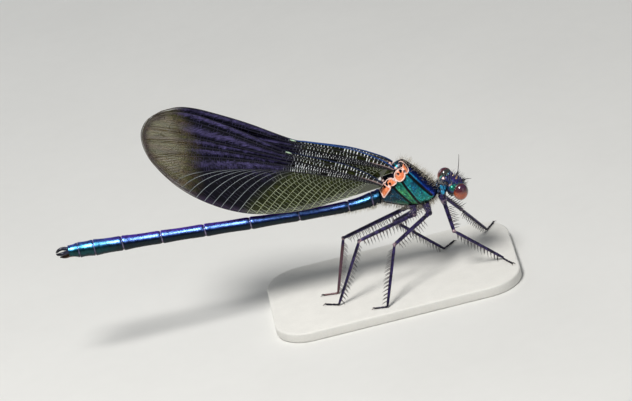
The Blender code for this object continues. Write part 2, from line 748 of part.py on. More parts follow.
def main():
    clear_scene()
    abdomen_length = build_abdomen()
    build_claspers(abdomen_length)
    build_thorax()
    build_head()
    build_wings()
    for name, points in LEGS.items():
        build_leg(name, points)
    build_stand()
    place_model()


if __name__ == "__main__":
    main()
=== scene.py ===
"""A life-size male banded demoiselle on its display plate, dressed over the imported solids.

Every piece is modelled in millimetres in the insect's own axes, X forward to the head, Y to its
left and Z up, measured from a point in the middle of the thorax. BodyFit then brings the finished
mesh to metres in the part's frame, with its object at the origin.
"""

import logging
import math
from dataclasses import dataclass, field
from enum import Enum
from functools import cached_property
from itertools import chain
from typing import Callable, Iterator, Sequence

import bpy
import numpy as np
from mathutils import Matrix, Vector, noise


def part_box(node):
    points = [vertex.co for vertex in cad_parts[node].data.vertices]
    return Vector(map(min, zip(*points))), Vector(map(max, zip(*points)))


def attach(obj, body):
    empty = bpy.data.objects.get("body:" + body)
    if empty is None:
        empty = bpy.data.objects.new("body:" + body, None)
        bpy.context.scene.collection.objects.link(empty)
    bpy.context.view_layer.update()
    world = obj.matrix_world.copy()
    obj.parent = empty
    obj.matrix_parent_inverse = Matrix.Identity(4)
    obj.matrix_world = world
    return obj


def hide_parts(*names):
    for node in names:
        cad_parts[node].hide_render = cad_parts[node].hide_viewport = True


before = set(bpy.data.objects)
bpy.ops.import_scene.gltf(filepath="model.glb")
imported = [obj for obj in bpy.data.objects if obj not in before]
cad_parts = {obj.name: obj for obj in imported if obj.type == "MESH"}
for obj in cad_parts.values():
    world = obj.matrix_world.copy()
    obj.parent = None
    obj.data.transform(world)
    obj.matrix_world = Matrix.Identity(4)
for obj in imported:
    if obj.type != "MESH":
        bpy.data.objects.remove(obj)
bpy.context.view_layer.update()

LOG = logging.getLogger("demoiselle")
MM = 0.001
ROOT_BODY = "root"
PAINT = "paint"
COVER = "cover"
BAKE_MAP = "OFBake"
TUFT_PATCH = 0.003  # side of a hair's patch on the unwrap
TUFT_CELL = 0.7  # mm of skin that one patch stands for
BROAD_GRAIN = 7  # a finish's broad mottling, in sizes of its fine grain
SEED = 20

PHOTO_SIZE = (632, 401)
PIXELS_PER_MM = 8.83
PHOTO_CENTRE = (-9.513, -0.057)  # mm from the body point, across and up the picture
CAMERA_TURN = math.radians(14.0)
CAMERA_RISE = math.radians(25.0)
CAMERA_DISTANCE = 0.6
SENSOR_WIDTH = 36.0

Colour = tuple[float, float, float]
Points = np.ndarray


class Side(Enum):
    """Which side of the insect a piece is on, with the sign of Y there."""

    LEFT = 1
    RIGHT = -1

    @property
    def word(self) -> str:
        """The side's name as the solids spell it."""
        return self.name.lower()


class Slot(Enum):
    """The record's material slots."""

    ABDOMEN = "abdomen_blue"
    THORAX = "thorax_green"
    HEAD = "head_blue"
    EYE = "eye_red"
    ROOT = "root_orange"
    WING = "wing_dark"
    LEG = "leg_black"
    STAND = "stand_pale"


# ---- numbers and curves


def ease(low: float, high: float, value: Points) -> Points:
    """A smooth step from 0 at low to 1 at high.

    Args:
        low: where the step starts.
        high: where it ends, which may lie below low.
        value: the numbers to step.

    Returns:
        The step's height for each number.
    """
    share = np.clip((np.asarray(value, float) - low) / (high - low), 0.0, 1.0)
    return share * share * (3 - 2 * share)


def blend(first: Points, second: Points, share: Points) -> Points:
    """Mixes two colours, or two lists of colours, point by point.

    Args:
        first: colour where the share is 0.
        second: colour where the share is 1.
        share: one number a point.

    Returns:
        One colour a point.
    """
    weight = np.asarray(share, float)[:, None]
    return np.asarray(first, float) * (1 - weight) + np.asarray(second, float) * weight


def layered(base: Points, *coats: tuple[Points, Points]) -> Points:
    """Lays coats of colour over a base.

    Args:
        base: the colour, or one colour a point, under the coats.
        coats: for each coat its colour or colours, and its share at each point.

    Returns:
        One colour a point.
    """
    for colour, share in coats:
        base = blend(base, colour, share)
    return base


def nearest(places: Points, others: Points) -> Points:
    """Distance from each place to the nearest of some others."""
    return np.sqrt(((places[:, None] - np.asarray(others)[None]) ** 2).sum(2)).min(1)


def speckle(points: Points, size: float) -> Points:
    """Seeded noise from -1 to 1 at each point, with lumps of a given size in millimetres."""
    return np.array([noise.noise(Vector(p) / size) for p in points])


def through(points: Sequence[Sequence[float]], count: int) -> Points:
    """Runs a smooth curve through a few points.

    Args:
        points: places of any number of coordinates.
        count: how many points to return.

    Returns:
        That many points at even steps of length along a Catmull-Rom curve.
    """
    places = np.array(points, float)
    ends = np.vstack([2 * places[0] - places[1], places, 2 * places[-1] - places[-2]])
    a, b, c, d = (ends[k:k + len(places) - 1, None] for k in range(4))
    t = np.linspace(0, 1, 24, endpoint=False)[None, :, None]
    fine = 0.5 * (2 * b + (c - a) * t + (2 * a - 5 * b + 4 * c - d) * t * t + (3 * b - a - 3 * c + d) * t ** 3)
    fine = np.vstack([fine.reshape(-1, places.shape[1]), places[-1]])
    reach = np.concatenate([[0], np.cumsum(np.linalg.norm(np.diff(fine, axis=0), axis=1))])
    wanted = np.linspace(0, reach[-1], count)
    return np.column_stack([np.interp(wanted, reach, column) for column in fine.T])


# ---- modelling by hand


def pick_nothing() -> None:
    """Leaves edit mode and clears the selection."""
    if bpy.context.object and bpy.context.object.mode != "OBJECT":
        bpy.ops.object.mode_set(mode="OBJECT")
    bpy.ops.object.select_all(action="DESELECT")


def pick(*pieces: bpy.types.Object) -> None:
    """Selects only these pieces, with the first one active."""
    pick_nothing()
    for piece in pieces:
        piece.select_set(True)
    bpy.context.view_layer.objects.active = pieces[0]


def lump(centre: Sequence[float], axes: Sequence[float], turn: Sequence[float] = (0, 0, 0),
         fineness: int = 24) -> bpy.types.Object:
    """A ball drawn out to an oval lump, the start of a fused form.

    Args:
        centre: its middle.
        axes: its half sizes.
        turn: its turn about X, Y and Z in radians.
        fineness: how many segments go round it.

    Returns:
        The lump, with its size and place in its mesh.
    """
    pick_nothing()
    bpy.ops.mesh.primitive_uv_sphere_add(segments=fineness, ring_count=fineness // 2, radius=1.0,
                                         location=centre, rotation=turn)
    made = bpy.context.object
    made.scale = axes
    bpy.ops.object.transform_apply(location=True, rotation=True, scale=True)
    return made


def rod(points: Points, radii: Sequence[float], name: str = "rod", fineness: int = 2) -> bpy.types.Object:
    """A round rod along a line, of its own thickness at each point.

    Args:
        points: the line's points.
        radii: the radius at each.
        name: the object's name.
        fineness: how finely it is rounded.

    Returns:
        The rod as a closed mesh.
    """
    curve = bpy.data.curves.new(name, "CURVE")
    curve.dimensions = "3D"
    curve.bevel_depth = 1.0
    curve.bevel_resolution = fineness
    curve.use_fill_caps = True
    spline = curve.splines.new("POLY")
    spline.points.add(len(points) - 1)
    for knot, place, radius in zip(spline.points, points, radii):
        knot.co = (*place, 1.0)
        knot.radius = radius
    made = bpy.data.objects.new(name, curve)
    bpy.context.scene.collection.objects.link(made)
    pick(made)
    bpy.ops.object.convert(target="MESH")
    return bpy.context.object


def drawn_out(name: str, stations: Sequence[tuple[Points, float, float]], sides: int) -> bpy.types.Object:
    """Draws a round disc out from station to station along X, sizing it at each.

    Args:
        name: the object's name.
        stations: middle, half width and half height of each cross-section.
        sides: how many corners a cross-section has.

    Returns:
        The closed form.
    """
    pick_nothing()
    bpy.ops.mesh.primitive_circle_add(vertices=sides, radius=1.0, fill_type="NGON",
                                      rotation=(0, math.pi / 2, 0))
    made = bpy.context.object
    made.name = name
    bpy.ops.object.transform_apply(location=True, rotation=True, scale=True)
    centre, wide, high = stations[0]
    bpy.ops.object.mode_set(mode="EDIT")
    bpy.ops.mesh.select_all(action="SELECT")
    bpy.ops.transform.resize(value=(1, wide, high), center_override=(0, 0, 0))
    bpy.ops.transform.translate(value=tuple(centre))
    for before, now in zip(stations, stations[1:]):
        bpy.ops.mesh.extrude_region()
        bpy.ops.transform.translate(value=tuple(now[0] - before[0]))
        bpy.ops.transform.resize(value=(1, now[1] / before[1], now[2] / before[2]),
                                 center_override=tuple(now[0]))
    bpy.ops.mesh.select_all(action="SELECT")
    bpy.ops.mesh.normals_make_consistent(inside=False)
    bpy.ops.object.mode_set(mode="OBJECT")
    return made


def apply_modifier(piece: bpy.types.Object, kind: str, **settings: object) -> None:
    """Adds one modifier to a piece, sets it and applies it."""
    pick(piece)
    step = piece.modifiers.new(kind.lower(), kind)
    for key, value in settings.items():
        setattr(step, key, value)
    bpy.ops.object.modifier_apply(modifier=step.name)


def round_off(piece: bpy.types.Object, levels: int) -> None:
    """Subdivides a piece smoothly and applies it."""
    apply_modifier(piece, "SUBSURF", levels=levels, render_levels=levels)


def fuse(name: str, pieces: Sequence[bpy.types.Object], grain: float, easing: int = 4) -> bpy.types.Object:
    """Joins overlapping lumps and rods into one skin.

    Args:
        name: the skin's name.
        pieces: closed forms that overlap.
        grain: size of its faces.
        easing: how many times its creases are smoothed.

    Returns:
        One closed skin.
    """
    pick(*pieces)
    bpy.ops.object.join()
    skin = bpy.context.object
    skin.name = name
    skin.data.remesh_voxel_size = grain
    skin.data.remesh_voxel_adaptivity = 0.0
    bpy.ops.object.voxel_remesh()
    if easing:
        apply_modifier(skin, "SMOOTH", factor=0.5, iterations=easing)
    return skin


def mesh_piece(name: str, corners: Points, faces: Sequence[Sequence[int]]) -> bpy.types.Object:
    """Makes an object from corners and faces."""
    mesh = bpy.data.meshes.new(name)
    mesh.from_pydata(np.asarray(corners, float).tolist(), [], [list(face) for face in faces])
    made = bpy.data.objects.new(name, mesh)
    bpy.context.scene.collection.objects.link(made)
    return made


def loft(name: str, rings: Points) -> bpy.types.Object:
    """Closes a skin over rings of equally many points, each ring turning the same way.

    Args:
        name: the object's name.
        rings: an array of rings by points by three coordinates.

    Returns:
        The closed skin, facing outwards.
    """
    count, sides = rings.shape[:2]
    faces = []
    for i in range(count - 1):
        for j in range(sides):
            k = (j + 1) % sides
            faces.append((i * sides + j, i * sides + k, (i + 1) * sides + k, (i + 1) * sides + j))
    faces.append(range(sides))
    faces.append(range((count - 1) * sides, count * sides))
    made = mesh_piece(name, rings.reshape(-1, 3), faces)
    pick(made)
    bpy.ops.object.mode_set(mode="EDIT")
    bpy.ops.mesh.select_all(action="SELECT")
    bpy.ops.mesh.normals_make_consistent(inside=False)
    bpy.ops.object.mode_set(mode="OBJECT")
    return made


def read_corners(piece: bpy.types.Object, what: str) -> Points:
    """Reads three numbers a corner, such as its place (co) or its normal (normal)."""
    flat = np.zeros(len(piece.data.vertices) * 3)
    piece.data.vertices.foreach_get(what, flat)
    return flat.reshape(-1, 3)


def corners_of(piece: bpy.types.Object) -> Points:
    """A piece's corners as an array of points."""
    return read_corners(piece, "co")


def normals_of(piece: bpy.types.Object) -> Points:
    """A piece's corner normals as an array."""
    return read_corners(piece, "normal")


def move_corners(piece: bpy.types.Object, corners: Points) -> None:
    """Puts a piece's corners in new places."""
    piece.data.vertices.foreach_set("co", np.asarray(corners, float).reshape(-1))
    piece.data.update()


def paint(piece: bpy.types.Object, colours: Points) -> None:
    """Keeps one colour a corner on the mesh, for its finish to read."""
    layer = piece.data.attributes.new(PAINT, "FLOAT_COLOR", "POINT")
    full = np.ones((len(colours), 4))
    full[:, :3] = np.clip(colours, 0.0, 1.0)
    layer.data.foreach_set("color", full.reshape(-1))


def cover(piece: bpy.types.Object, shares: Points) -> None:
    """Keeps how much of the light each corner stops, for a see-through finish to read."""
    layer = piece.data.attributes.new(COVER, "FLOAT", "POINT")
    layer.data.foreach_set("value", np.clip(shares, 0.0, 1.0))


@dataclass(frozen=True)
class BodyFit:
    """Brings a piece from the insect's own millimetres to metres in the part's frame."""

    shift: Vector

    @classmethod
    def from_frame(cls) -> "BodyFit":
        """Reads the shift from the thorax and the plate, whose places are known."""
        thorax_low, thorax_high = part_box("pterothorax")
        _, plate_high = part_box("stand_base")
        along = thorax_low.x / MM - Thorax.rear_end
        across = (thorax_low.y + thorax_high.y) / 2 / MM
        return cls(Vector((along, across, plate_high.z / MM - Plate.top)))

    def settle(self, piece: bpy.types.Object, material: bpy.types.Material,
               nodes: Sequence[str] = (), sharp: float = 70.0) -> None:
        """Places a finished piece, dresses it and lets it ride on the part.

        Args:
            piece: the piece, in millimetres.
            material: its finish.
            nodes: the solids it stands for.
            sharp: edges turned by more degrees than this stay sharp.
        """
        piece.data.transform(Matrix.Scale(MM, 4) @ Matrix.Translation(self.shift))
        pick(piece)
        bpy.ops.object.shade_smooth_by_angle(angle=math.radians(sharp))
        piece.data.materials.clear()
        piece.data.materials.append(material)
        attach(piece, ROOT_BODY)
        if nodes:
            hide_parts(*nodes)
        piece.data.calc_loop_triangles()
        LOG.info("%s: %d triangles", piece.name, len(piece.data.loop_triangles))


# ---- finishes


def noise_at(tree: bpy.types.NodeTree, place: bpy.types.NodeSocket, size: float,
             detail: float) -> bpy.types.NodeSocket:
    """Noise with lumps of a given size in millimetres."""
    made = tree.nodes.new("ShaderNodeTexNoise")
    made.inputs["Scale"].default_value = 1 / (size * MM)
    made.inputs["Detail"].default_value = detail
    tree.links.new(place, made.inputs["Vector"])
    return made.outputs["Fac"]


def ranged(tree: bpy.types.NodeTree, value: bpy.types.NodeSocket, given: tuple[float, float],
           wanted: tuple[float, float]) -> bpy.types.NodeSocket:
    """Maps numbers from the range they are given in to the range that is wanted."""
    made = tree.nodes.new("ShaderNodeMapRange")
    for key, number in zip(("From Min", "From Max", "To Min", "To Max"), (*given, *wanted)):
        made.inputs[key].default_value = number
    tree.links.new(value, made.inputs["Value"])
    return made.outputs["Result"]


@dataclass(frozen=True)
class Finish:
    """A finish whose colours are painted on the mesh, with grain and gloss from nodes."""

    name: str
    metallic: float = 0.0
    roughness: tuple[float, float] = (0.3, 0.45)
    grain: float = 0.08  # mm
    relief: float = 0.3
    depth: float = 0.02  # mm
    mottle: float = 0.25
    coat: float = 0.0
    coat_roughness: float = 0.15
    see_through: bool = False
    faceted: bool = False
    plain: Colour | None = None

    def build(self) -> bpy.types.Material:
        """Builds the finish as a material.

        Returns:
            The material.
        """
        made = bpy.data.materials.new(self.name)
        made.use_nodes = True
        tree = made.node_tree
        nodes, links = tree.nodes, tree.links
        shader = nodes["Principled BSDF"]
        shader.inputs["Metallic"].default_value = self.metallic
        shader.inputs["Coat Weight"].default_value = self.coat
        shader.inputs["Coat Roughness"].default_value = self.coat_roughness
        place = nodes.new("ShaderNodeTexCoord").outputs["Object"]
        fine = noise_at(tree, place, self.grain, 3.0)
        broad = noise_at(tree, place, self.grain * BROAD_GRAIN, 2.0)
        both = nodes.new("ShaderNodeMath")
        both.operation = "ADD"
        links.new(fine, both.inputs[0])
        links.new(broad, both.inputs[1])
        strength = ranged(tree, both.outputs[0], (0.7, 1.3), (1 - self.mottle, 1 + self.mottle))
        tone = nodes.new("ShaderNodeVectorMath")
        tone.operation = "SCALE"
        if self.plain:
            tone.inputs[0].default_value = self.plain
        else:
            painted = nodes.new("ShaderNodeAttribute")
            painted.attribute_name = PAINT
            links.new(painted.outputs["Color"], tone.inputs[0])
        links.new(strength, tone.inputs["Scale"])
        links.new(tone.outputs[0], shader.inputs["Base Color"])
        links.new(ranged(tree, broad, (0.3, 0.7), self.roughness), shader.inputs["Roughness"])
        bump = nodes.new("ShaderNodeBump")
        bump.inputs["Strength"].default_value = self.relief
        bump.inputs["Distance"].default_value = self.depth * MM
        height = fine
        if self.faceted:
            facets = nodes.new("ShaderNodeTexVoronoi")
            facets.inputs["Scale"].default_value = 1 / (self.grain * MM)
            facets.inputs["Randomness"].default_value = 0.25
            links.new(place, facets.inputs["Vector"])
            height = facets.outputs["Distance"]
            bump.invert = True
        links.new(height, bump.inputs["Height"])
        links.new(bump.outputs["Normal"], shader.inputs["Normal"])
        if self.see_through:
            stopped = nodes.new("ShaderNodeAttribute")
            stopped.attribute_name = COVER
            links.new(stopped.outputs["Fac"], shader.inputs["Alpha"])
        return made


class Wardrobe:
    """Every finish that the model wears, built once."""

    def __init__(self) -> None:
        """Builds the materials."""
        self.abdomen = Finish("metallic_blue_cuticle", metallic=0.9, roughness=(0.25, 0.38), grain=0.06,
                              relief=0.6, depth=0.015, mottle=0.45, coat=0.3, coat_roughness=0.2).build()
        self.thorax = Finish("metallic_green_cuticle", metallic=0.9, roughness=(0.26, 0.42), grain=0.07,
                             relief=0.8, depth=0.02, mottle=0.5, coat=0.3, coat_roughness=0.2).build()
        self.head = Finish("metallic_head_cuticle", metallic=0.7, roughness=(0.25, 0.4), grain=0.08,
                           relief=0.5, depth=0.015, mottle=0.35, coat=0.5, coat_roughness=0.15).build()
        self.eye = Finish("compound_eye", roughness=(0.12, 0.2), grain=0.05, relief=0.35, depth=0.012,
                          mottle=0.2, coat=1.0, coat_roughness=0.06, faceted=True).build()
        self.ocellus = Finish("amber_ocellus", roughness=(0.1, 0.15), relief=0.1, coat=1.0,
                              coat_roughness=0.04, plain=(0.45, 0.28, 0.14)).build()
        self.root = Finish("orange_wing_root", roughness=(0.38, 0.55), grain=0.09, relief=0.4, depth=0.02,
                           mottle=0.15, coat=0.25, coat_roughness=0.25).build()
        self.leg = Finish("violet_leg_cuticle", metallic=0.5, roughness=(0.26, 0.38), grain=0.06,
                          relief=0.35, depth=0.012, mottle=0.3, coat=0.15, coat_roughness=0.2).build()
        self.bristle = Finish("bristle", roughness=(0.4, 0.55), relief=0.1, mottle=0.1).build()
        self.hair = Finish("pale_hair", roughness=(0.45, 0.6), relief=0.1, mottle=0.15).build()
        self.vein = Finish("wing_vein", metallic=0.1, roughness=(0.4, 0.55), grain=0.1, relief=0.2,
                           mottle=0.25).build()
        self.membrane = Finish("wing_membrane", metallic=0.8, roughness=(0.34, 0.5), grain=0.13,
                               relief=0.7, depth=0.03, mottle=0.5, coat=0.03, coat_roughness=0.25,
                               see_through=True).build()
        self.plate = Finish("matt_plate", roughness=(0.55, 0.7), grain=0.2, relief=0.15, depth=0.01,
                            mottle=0.03, plain=(0.78, 0.77, 0.73)).build()


# ---- thin parts gathered in one mesh


class Strands:
    """Many thin tubes gathered in one mesh, such as veins, bristles and hairs."""

    def __init__(self, sides: int) -> None:
        """Starts with no tube; each will have this many sides."""
        self.sides = sides
        self.corners: list[Points] = []
        self.tones: list[Points] = []
        self.faces: list[Sequence[int]] = []
        self.patches: list[tuple[float, float]] = []
        self.count = 0

    def add(self, line: Points, radii: Points, tones: Points, square: Points,
            patch: tuple[float, float] = (0.0, 0.0)) -> None:
        """Adds one tube.

        Args:
            line: its points.
            radii: its radius at each point.
            tones: its colour at each point, or one colour.
            square: a direction that isn't along the line, which one side faces.
            patch: where its root lies on the unwrapped skin.
        """
        along = np.gradient(line, axis=0)
        along /= np.linalg.norm(along, axis=1)[:, None]
        first = square - along * (along @ square)[:, None]
        first /= np.linalg.norm(first, axis=1)[:, None]
        second = np.cross(along, first)
        turn = 2 * np.pi * np.arange(self.sides) / self.sides
        ring = (first[:, None] * np.cos(turn)[None, :, None] + second[:, None] * np.sin(turn)[None, :, None])
        self.corners.append((line[:, None] + ring * np.asarray(radii)[:, None, None]).reshape(-1, 3))
        colours = np.broadcast_to(np.asarray(tones, float), (len(line), 3))
        self.tones.append(np.repeat(colours, self.sides, axis=0))
        start, sides = self.count, self.sides
        for i in range(len(line) - 1):
            row, after = start + i * sides, start + (i + 1) * sides
            for j in range(sides):
                k = (j + 1) % sides
                self.faces.append((row + j, row + k, after + k, after + j))
        end = start + len(line) * sides
        self.faces.append(range(start + sides - 1, start - 1, -1))
        self.faces.append(range(end - sides, end))
        self.patches += [patch] * (len(line) * sides)
        self.count = end

    def build(self, name: str, mapped: bool = False) -> bpy.types.Object:
        """Makes the mesh.

        Args:
            name: the object's name.
            mapped: whether each strand also gets its patch of the skin's unwrap.

        Returns:
            The joined strands.
        """
        corners = np.vstack(self.corners)
        made = mesh_piece(name, corners, self.faces)
        paint(made, np.vstack(self.tones))
        if mapped:
            layer = made.data.uv_layers.new(name=BAKE_MAP)
            index = np.zeros(len(made.data.loops), int)
            made.data.loops.foreach_get("vertex_index", index)
            low = corners.min(0)
            spread = (corners - low) % TUFT_CELL / TUFT_CELL * TUFT_PATCH
            places = np.array(self.patches) + spread[:, [0, 2]]
            layer.data.foreach_set("uv", places[index].reshape(-1))
        return made


@dataclass(frozen=True)
class Pelt:
    """Fine hairs that stand on part of a skin."""

    name: str
    count: int
    length: tuple[float, float]
    radius: float
    tones: tuple[Colour, ...]
    lean: Sequence[float] = (0, 0, 0)
    spread: float = 0.35
    seed: int = SEED

    def grow(self, skin: bpy.types.Object, share: Callable[[Points, Points], Points]) -> bpy.types.Object:
        """Grows the hairs.

        Args:
            skin: the skin they stand on, still in millimetres.
            share: for places and normals, how thickly hairs grow there, from 0.

        Returns:
            The hairs as one mesh with its unwrap.
        """
        draw = np.random.default_rng(self.seed)
        places, normals = corners_of(skin), normals_of(skin)
        weight = np.clip(share(places, normals), 0, None)
        chosen = draw.choice(len(places), self.count, p=weight / weight.sum())
        low, high = places.min(0), places.max(0)
        strands = Strands(3)
        steps = np.linspace(0, 1, 4)
        for index in chosen:
            root, normal = places[index], normals[index]
            aim = normal + np.array(self.lean) + draw.normal(0, self.spread, 3)
            aim /= np.linalg.norm(aim)
            sag = np.array(self.lean) * 0.25 + draw.normal(0, 0.08, 3)
            length = draw.uniform(*self.length)
            line = root - normal * 0.02 + np.outer(steps, aim) * length + np.outer(steps ** 2, sag) * length
            radii = self.radius * np.array([1.0, 0.85, 0.55, 0.12])
            tone = np.array(self.tones[draw.integers(len(self.tones))]) * draw.uniform(0.8, 1.15)
            turn = math.atan2(root[1], root[2] - (low[2] + high[2]) / 2)
            patch = ((turn / (2 * math.pi) + 0.5) * 0.99, (root[0] - low[0]) / (high[0] - low[0]) * 0.99)
            strands.add(line, radii, tone, np.cross(aim, (0.31, 0.77, 0.55)), patch)
        return strands.build(self.name, mapped=True)


# ---- abdomen


@dataclass(frozen=True)
class Abdomen:
    """The long ringed abdomen, blue above with a painted highlight along its upper side, nearly black below,
    which is partly its dark underside and partly painted shade, and the claspers at its tail.
    """

    start: float = -2.15
    base_radius: float = 0.86
    segments: tuple[tuple[float, float], ...] = (
        (0.90, 0.87), (2.76, 0.67), (5.70, 0.65), (5.54, 0.73), (5.19, 0.74), (4.93, 0.76),
        (4.44, 0.84), (3.21, 0.92), (1.77, 0.86), (1.15, 0.66))
    rise: float = 0.1
    base_height: float = 0.2
    dip: float = 0.9
    dip_length: float = 2.5
    sides: int = 32
    seam_depth: float = 0.08
    fold_depth: float = 0.16
    cercus: tuple[tuple[float, ...], ...] = (
        (0.35, 0.34, 0.14, 0.20), (-0.10, 0.52, 0.20, 0.22), (-0.60, 0.66, 0.22, 0.20),
        (-0.98, 0.52, 0.17, 0.17), (-1.16, 0.30, 0.13, 0.12), (-1.24, 0.20, 0.12, 0.06))
    paraproct: tuple[tuple[float, ...], ...] = (
        (0.35, 0.26, -0.36, 0.19), (-0.30, 0.30, -0.42, 0.17), (-0.85, 0.24, -0.34, 0.09))

    @property
    def length(self) -> float:
        """Length of all the segments."""
        return sum(length for length, _ in self.segments)

    def height(self, distance: Points) -> Points:
        """Height of the middle line at a distance behind the abdomen's start."""
        return self.rise * distance + self.base_height + self.dip * np.exp(-distance / self.dip_length)

    def centre(self, distance: float) -> Points:
        """The middle line's point at a distance behind the start."""
        return np.array([self.start - distance, 0.0, float(self.height(distance))])

    def seams(self) -> Points:
        """How far behind the start each segment ends."""
        return np.cumsum([length for length, _ in self.segments])

    def stations(self) -> list[tuple[Points, float, float]]:
        """Cross-sections from front to rear, pinched at each seam and flared before it."""
        listed = [(self.centre(-0.25), 0.45, 0.45), (self.centre(-0.12), 0.72, 0.72)]
        start, front = 0.0, self.base_radius
        shares = ((0.02, -0.6), (0.05, 0.25), (0.12, 0.2), (0.3, -0.15), (0.5, -0.3), (0.7, -0.2),
                  (0.88, 0.25), (0.95, 0.5), (0.985, 0.3))
        for length, rear in self.segments:
            pinch = min(self.seam_depth, 0.08 * length + 0.02)
            for share, flare in shares:
                radius = front + (rear - front) * share + flare * pinch
                listed.append((self.centre(start + length * share), radius, radius * 1.02))
            start += length
            front = rear
            if start < self.length - 0.1:
                listed.append((self.centre(start), rear - pinch, rear - pinch))
        listed += [(self.centre(start + 0.04), 0.5, 0.5), (self.centre(start + 0.07), 0.2, 0.2)]
        return listed

    def tones(self, places: Points) -> Points:
        """Colours: violet-blue above with a painted highlight band of bright blue on the upper side, near-black
        green below, partly the dark underside and partly painted shade, cyan at both ends, pale seams.
        """
        distance = self.start - places[:, 0]
        up = places[:, 2] - self.height(distance)
        rise = up / (np.hypot(up, places[:, 1]) + 1e-6)
        along = distance / self.length
        grain = speckle(places, 0.35) * 0.06 + speckle(places, 0.10) * 0.07
        tail = ease(0.80, 0.93, along)
        ends = np.maximum(tail, ease(0.16, 0.0, along) * 0.8)
        flank = blend((0.006, 0.020, 0.13), (0.004, 0.075, 0.13), ends)
        # painted highlight: this bright blue band along the upper side stands in for the reflection of the key
        # light
        band = blend((0.17, 0.34, 0.98), (0.09, 0.52, 0.86), ends * 0.8)
        back = blend((0.15, 0.06, 0.70), (0.05, 0.16, 0.56), ends * 0.8)
        upper = layered(flank, (band, ease(0.42, 0.66, rise + grain)),
                        (back, ease(0.84, 0.95, rise + grain * 0.6)))
        belly = ease(-0.72, -0.9, rise + grain)
        gap = np.abs(distance[:, None] - self.seams()[None, :-1]).min(1)
        pale = blend((0.34, 0.30, 0.50), (0.16, 0.09, 0.12), ease(0.2, -0.6, rise))
        return layered(
            # the near-black base left below the upper colours is partly the real dark underside and partly
            # painted shade on the lower half
            (0.0015, 0.010, 0.018),
            ((0.001, 0.003, 0.006), ease(-0.1, -0.7, rise)),
            ((0.003, 0.05, 0.055), tail * ease(-0.75, -0.1, rise) * 0.9),
            (upper, ease(0.22, 0.44, rise + grain * 1.2)),
            ((0.03, 0.018, 0.015), belly * 0.6),
            ((0.42, 0.16, 0.09), belly * ease(0.9, 0.97, along) * 0.8),
            (pale, ease(0.085, 0.03, gap) * 0.8),
            ((0.004, 0.006, 0.02), ease(0.30, 0.12, gap) * ease(0.05, 0.10, gap) * 0.45))

    def build(self, fit: BodyFit, wardrobe: Wardrobe) -> None:
        """Builds the skin, the hairs under its front rings and the claspers.

        Args:
            fit: where it goes.
            wardrobe: the finishes.
        """
        skin = drawn_out("abdomen_skin", self.stations(), self.sides)
        round_off(skin, 2)
        places = corners_of(skin)
        distance = self.start - places[:, 0]
        up = places[:, 2] - self.height(distance)
        fold = ease(0.28, 0.12, np.abs(np.abs(places[:, 1]) - 0.30)) * ease(-0.2, -0.5, up)
        places[:, 2] += fold * self.fold_depth * ease(0.0, 1.0, distance)
        places[:, 2] += ease(0.18, 0.0, np.abs(places[:, 1])) * ease(0.3, 0.6, up) * 0.035
        move_corners(skin, places)
        paint(skin, self.tones(places))
        pelt = Pelt("abdomen_hairs", 420, (0.25, 0.55), 0.016, ((0.75, 0.72, 0.6), (0.6, 0.6, 0.55)),
                    lean=(-0.5, 0, -0.3), seed=SEED + 1)

        def share(spots: Points, facing: Points) -> Points:
            """Thickest under the front rings."""
            back = self.start - spots[:, 0]
            return ease(8.5, 1.5, back) * ease(0.0, 0.3, back) * ease(-0.25, -0.7, facing[:, 2])

        hairs = pelt.grow(skin, share)
        names = [f"abdomen_s{number:02d}" for number in range(1, 11)]
        fit.settle(skin, wardrobe.abdomen, names)
        fit.settle(hairs, wardrobe.hair, sharp=50)
        self.claspers(fit, wardrobe)

    def claspers(self, fit: BodyFit, wardrobe: Wardrobe) -> None:
        """Builds the pincer-like cerci above and the short paraprocts below."""
        tail = self.centre(self.length) + np.array([-0.18, 0, 0])
        for side in Side:
            for word, knots in (("cercus", self.cercus), ("paraproct", self.paraproct)):
                line = through(knots, 18)
                path = tail + line[:, :3] * (1, side.value, 1)
                shape = fuse(f"{word}_{side.word}_skin", [rod(path, line[:, 3], fineness=4),
                                                         lump(path[-1], [line[-1, 3]] * 3)], 0.03)
                places = corners_of(shape)
                back = ease(0.1, -1.2, places[:, 0] - tail[0])
                dark = (0.02, 0.022, 0.05) if word == "cercus" else (0.07, 0.035, 0.02)
                paint(shape, blend(dark, (0.006, 0.006, 0.01), back))
                fit.settle(shape, wardrobe.leg, [f"{word}_{side.word}"])


# ---- thorax


@dataclass(frozen=True)
class Seam:
    """A dark furrow on the side of the thorax, from a point high up to one low down."""

    top: tuple[float, float]
    foot: tuple[float, float]

    def reach(self, places: Points) -> tuple[Points, Points]:
        """Distance in front of the seam, and share of the way down it, for each place."""
        start = np.array(self.top)
        run = np.array(self.foot) - start
        length = np.linalg.norm(run)
        run /= length
        off = places[:, [0, 2]] - start
        return off[:, 1] * run[0] - off[:, 0] * run[1], (off @ run) / length


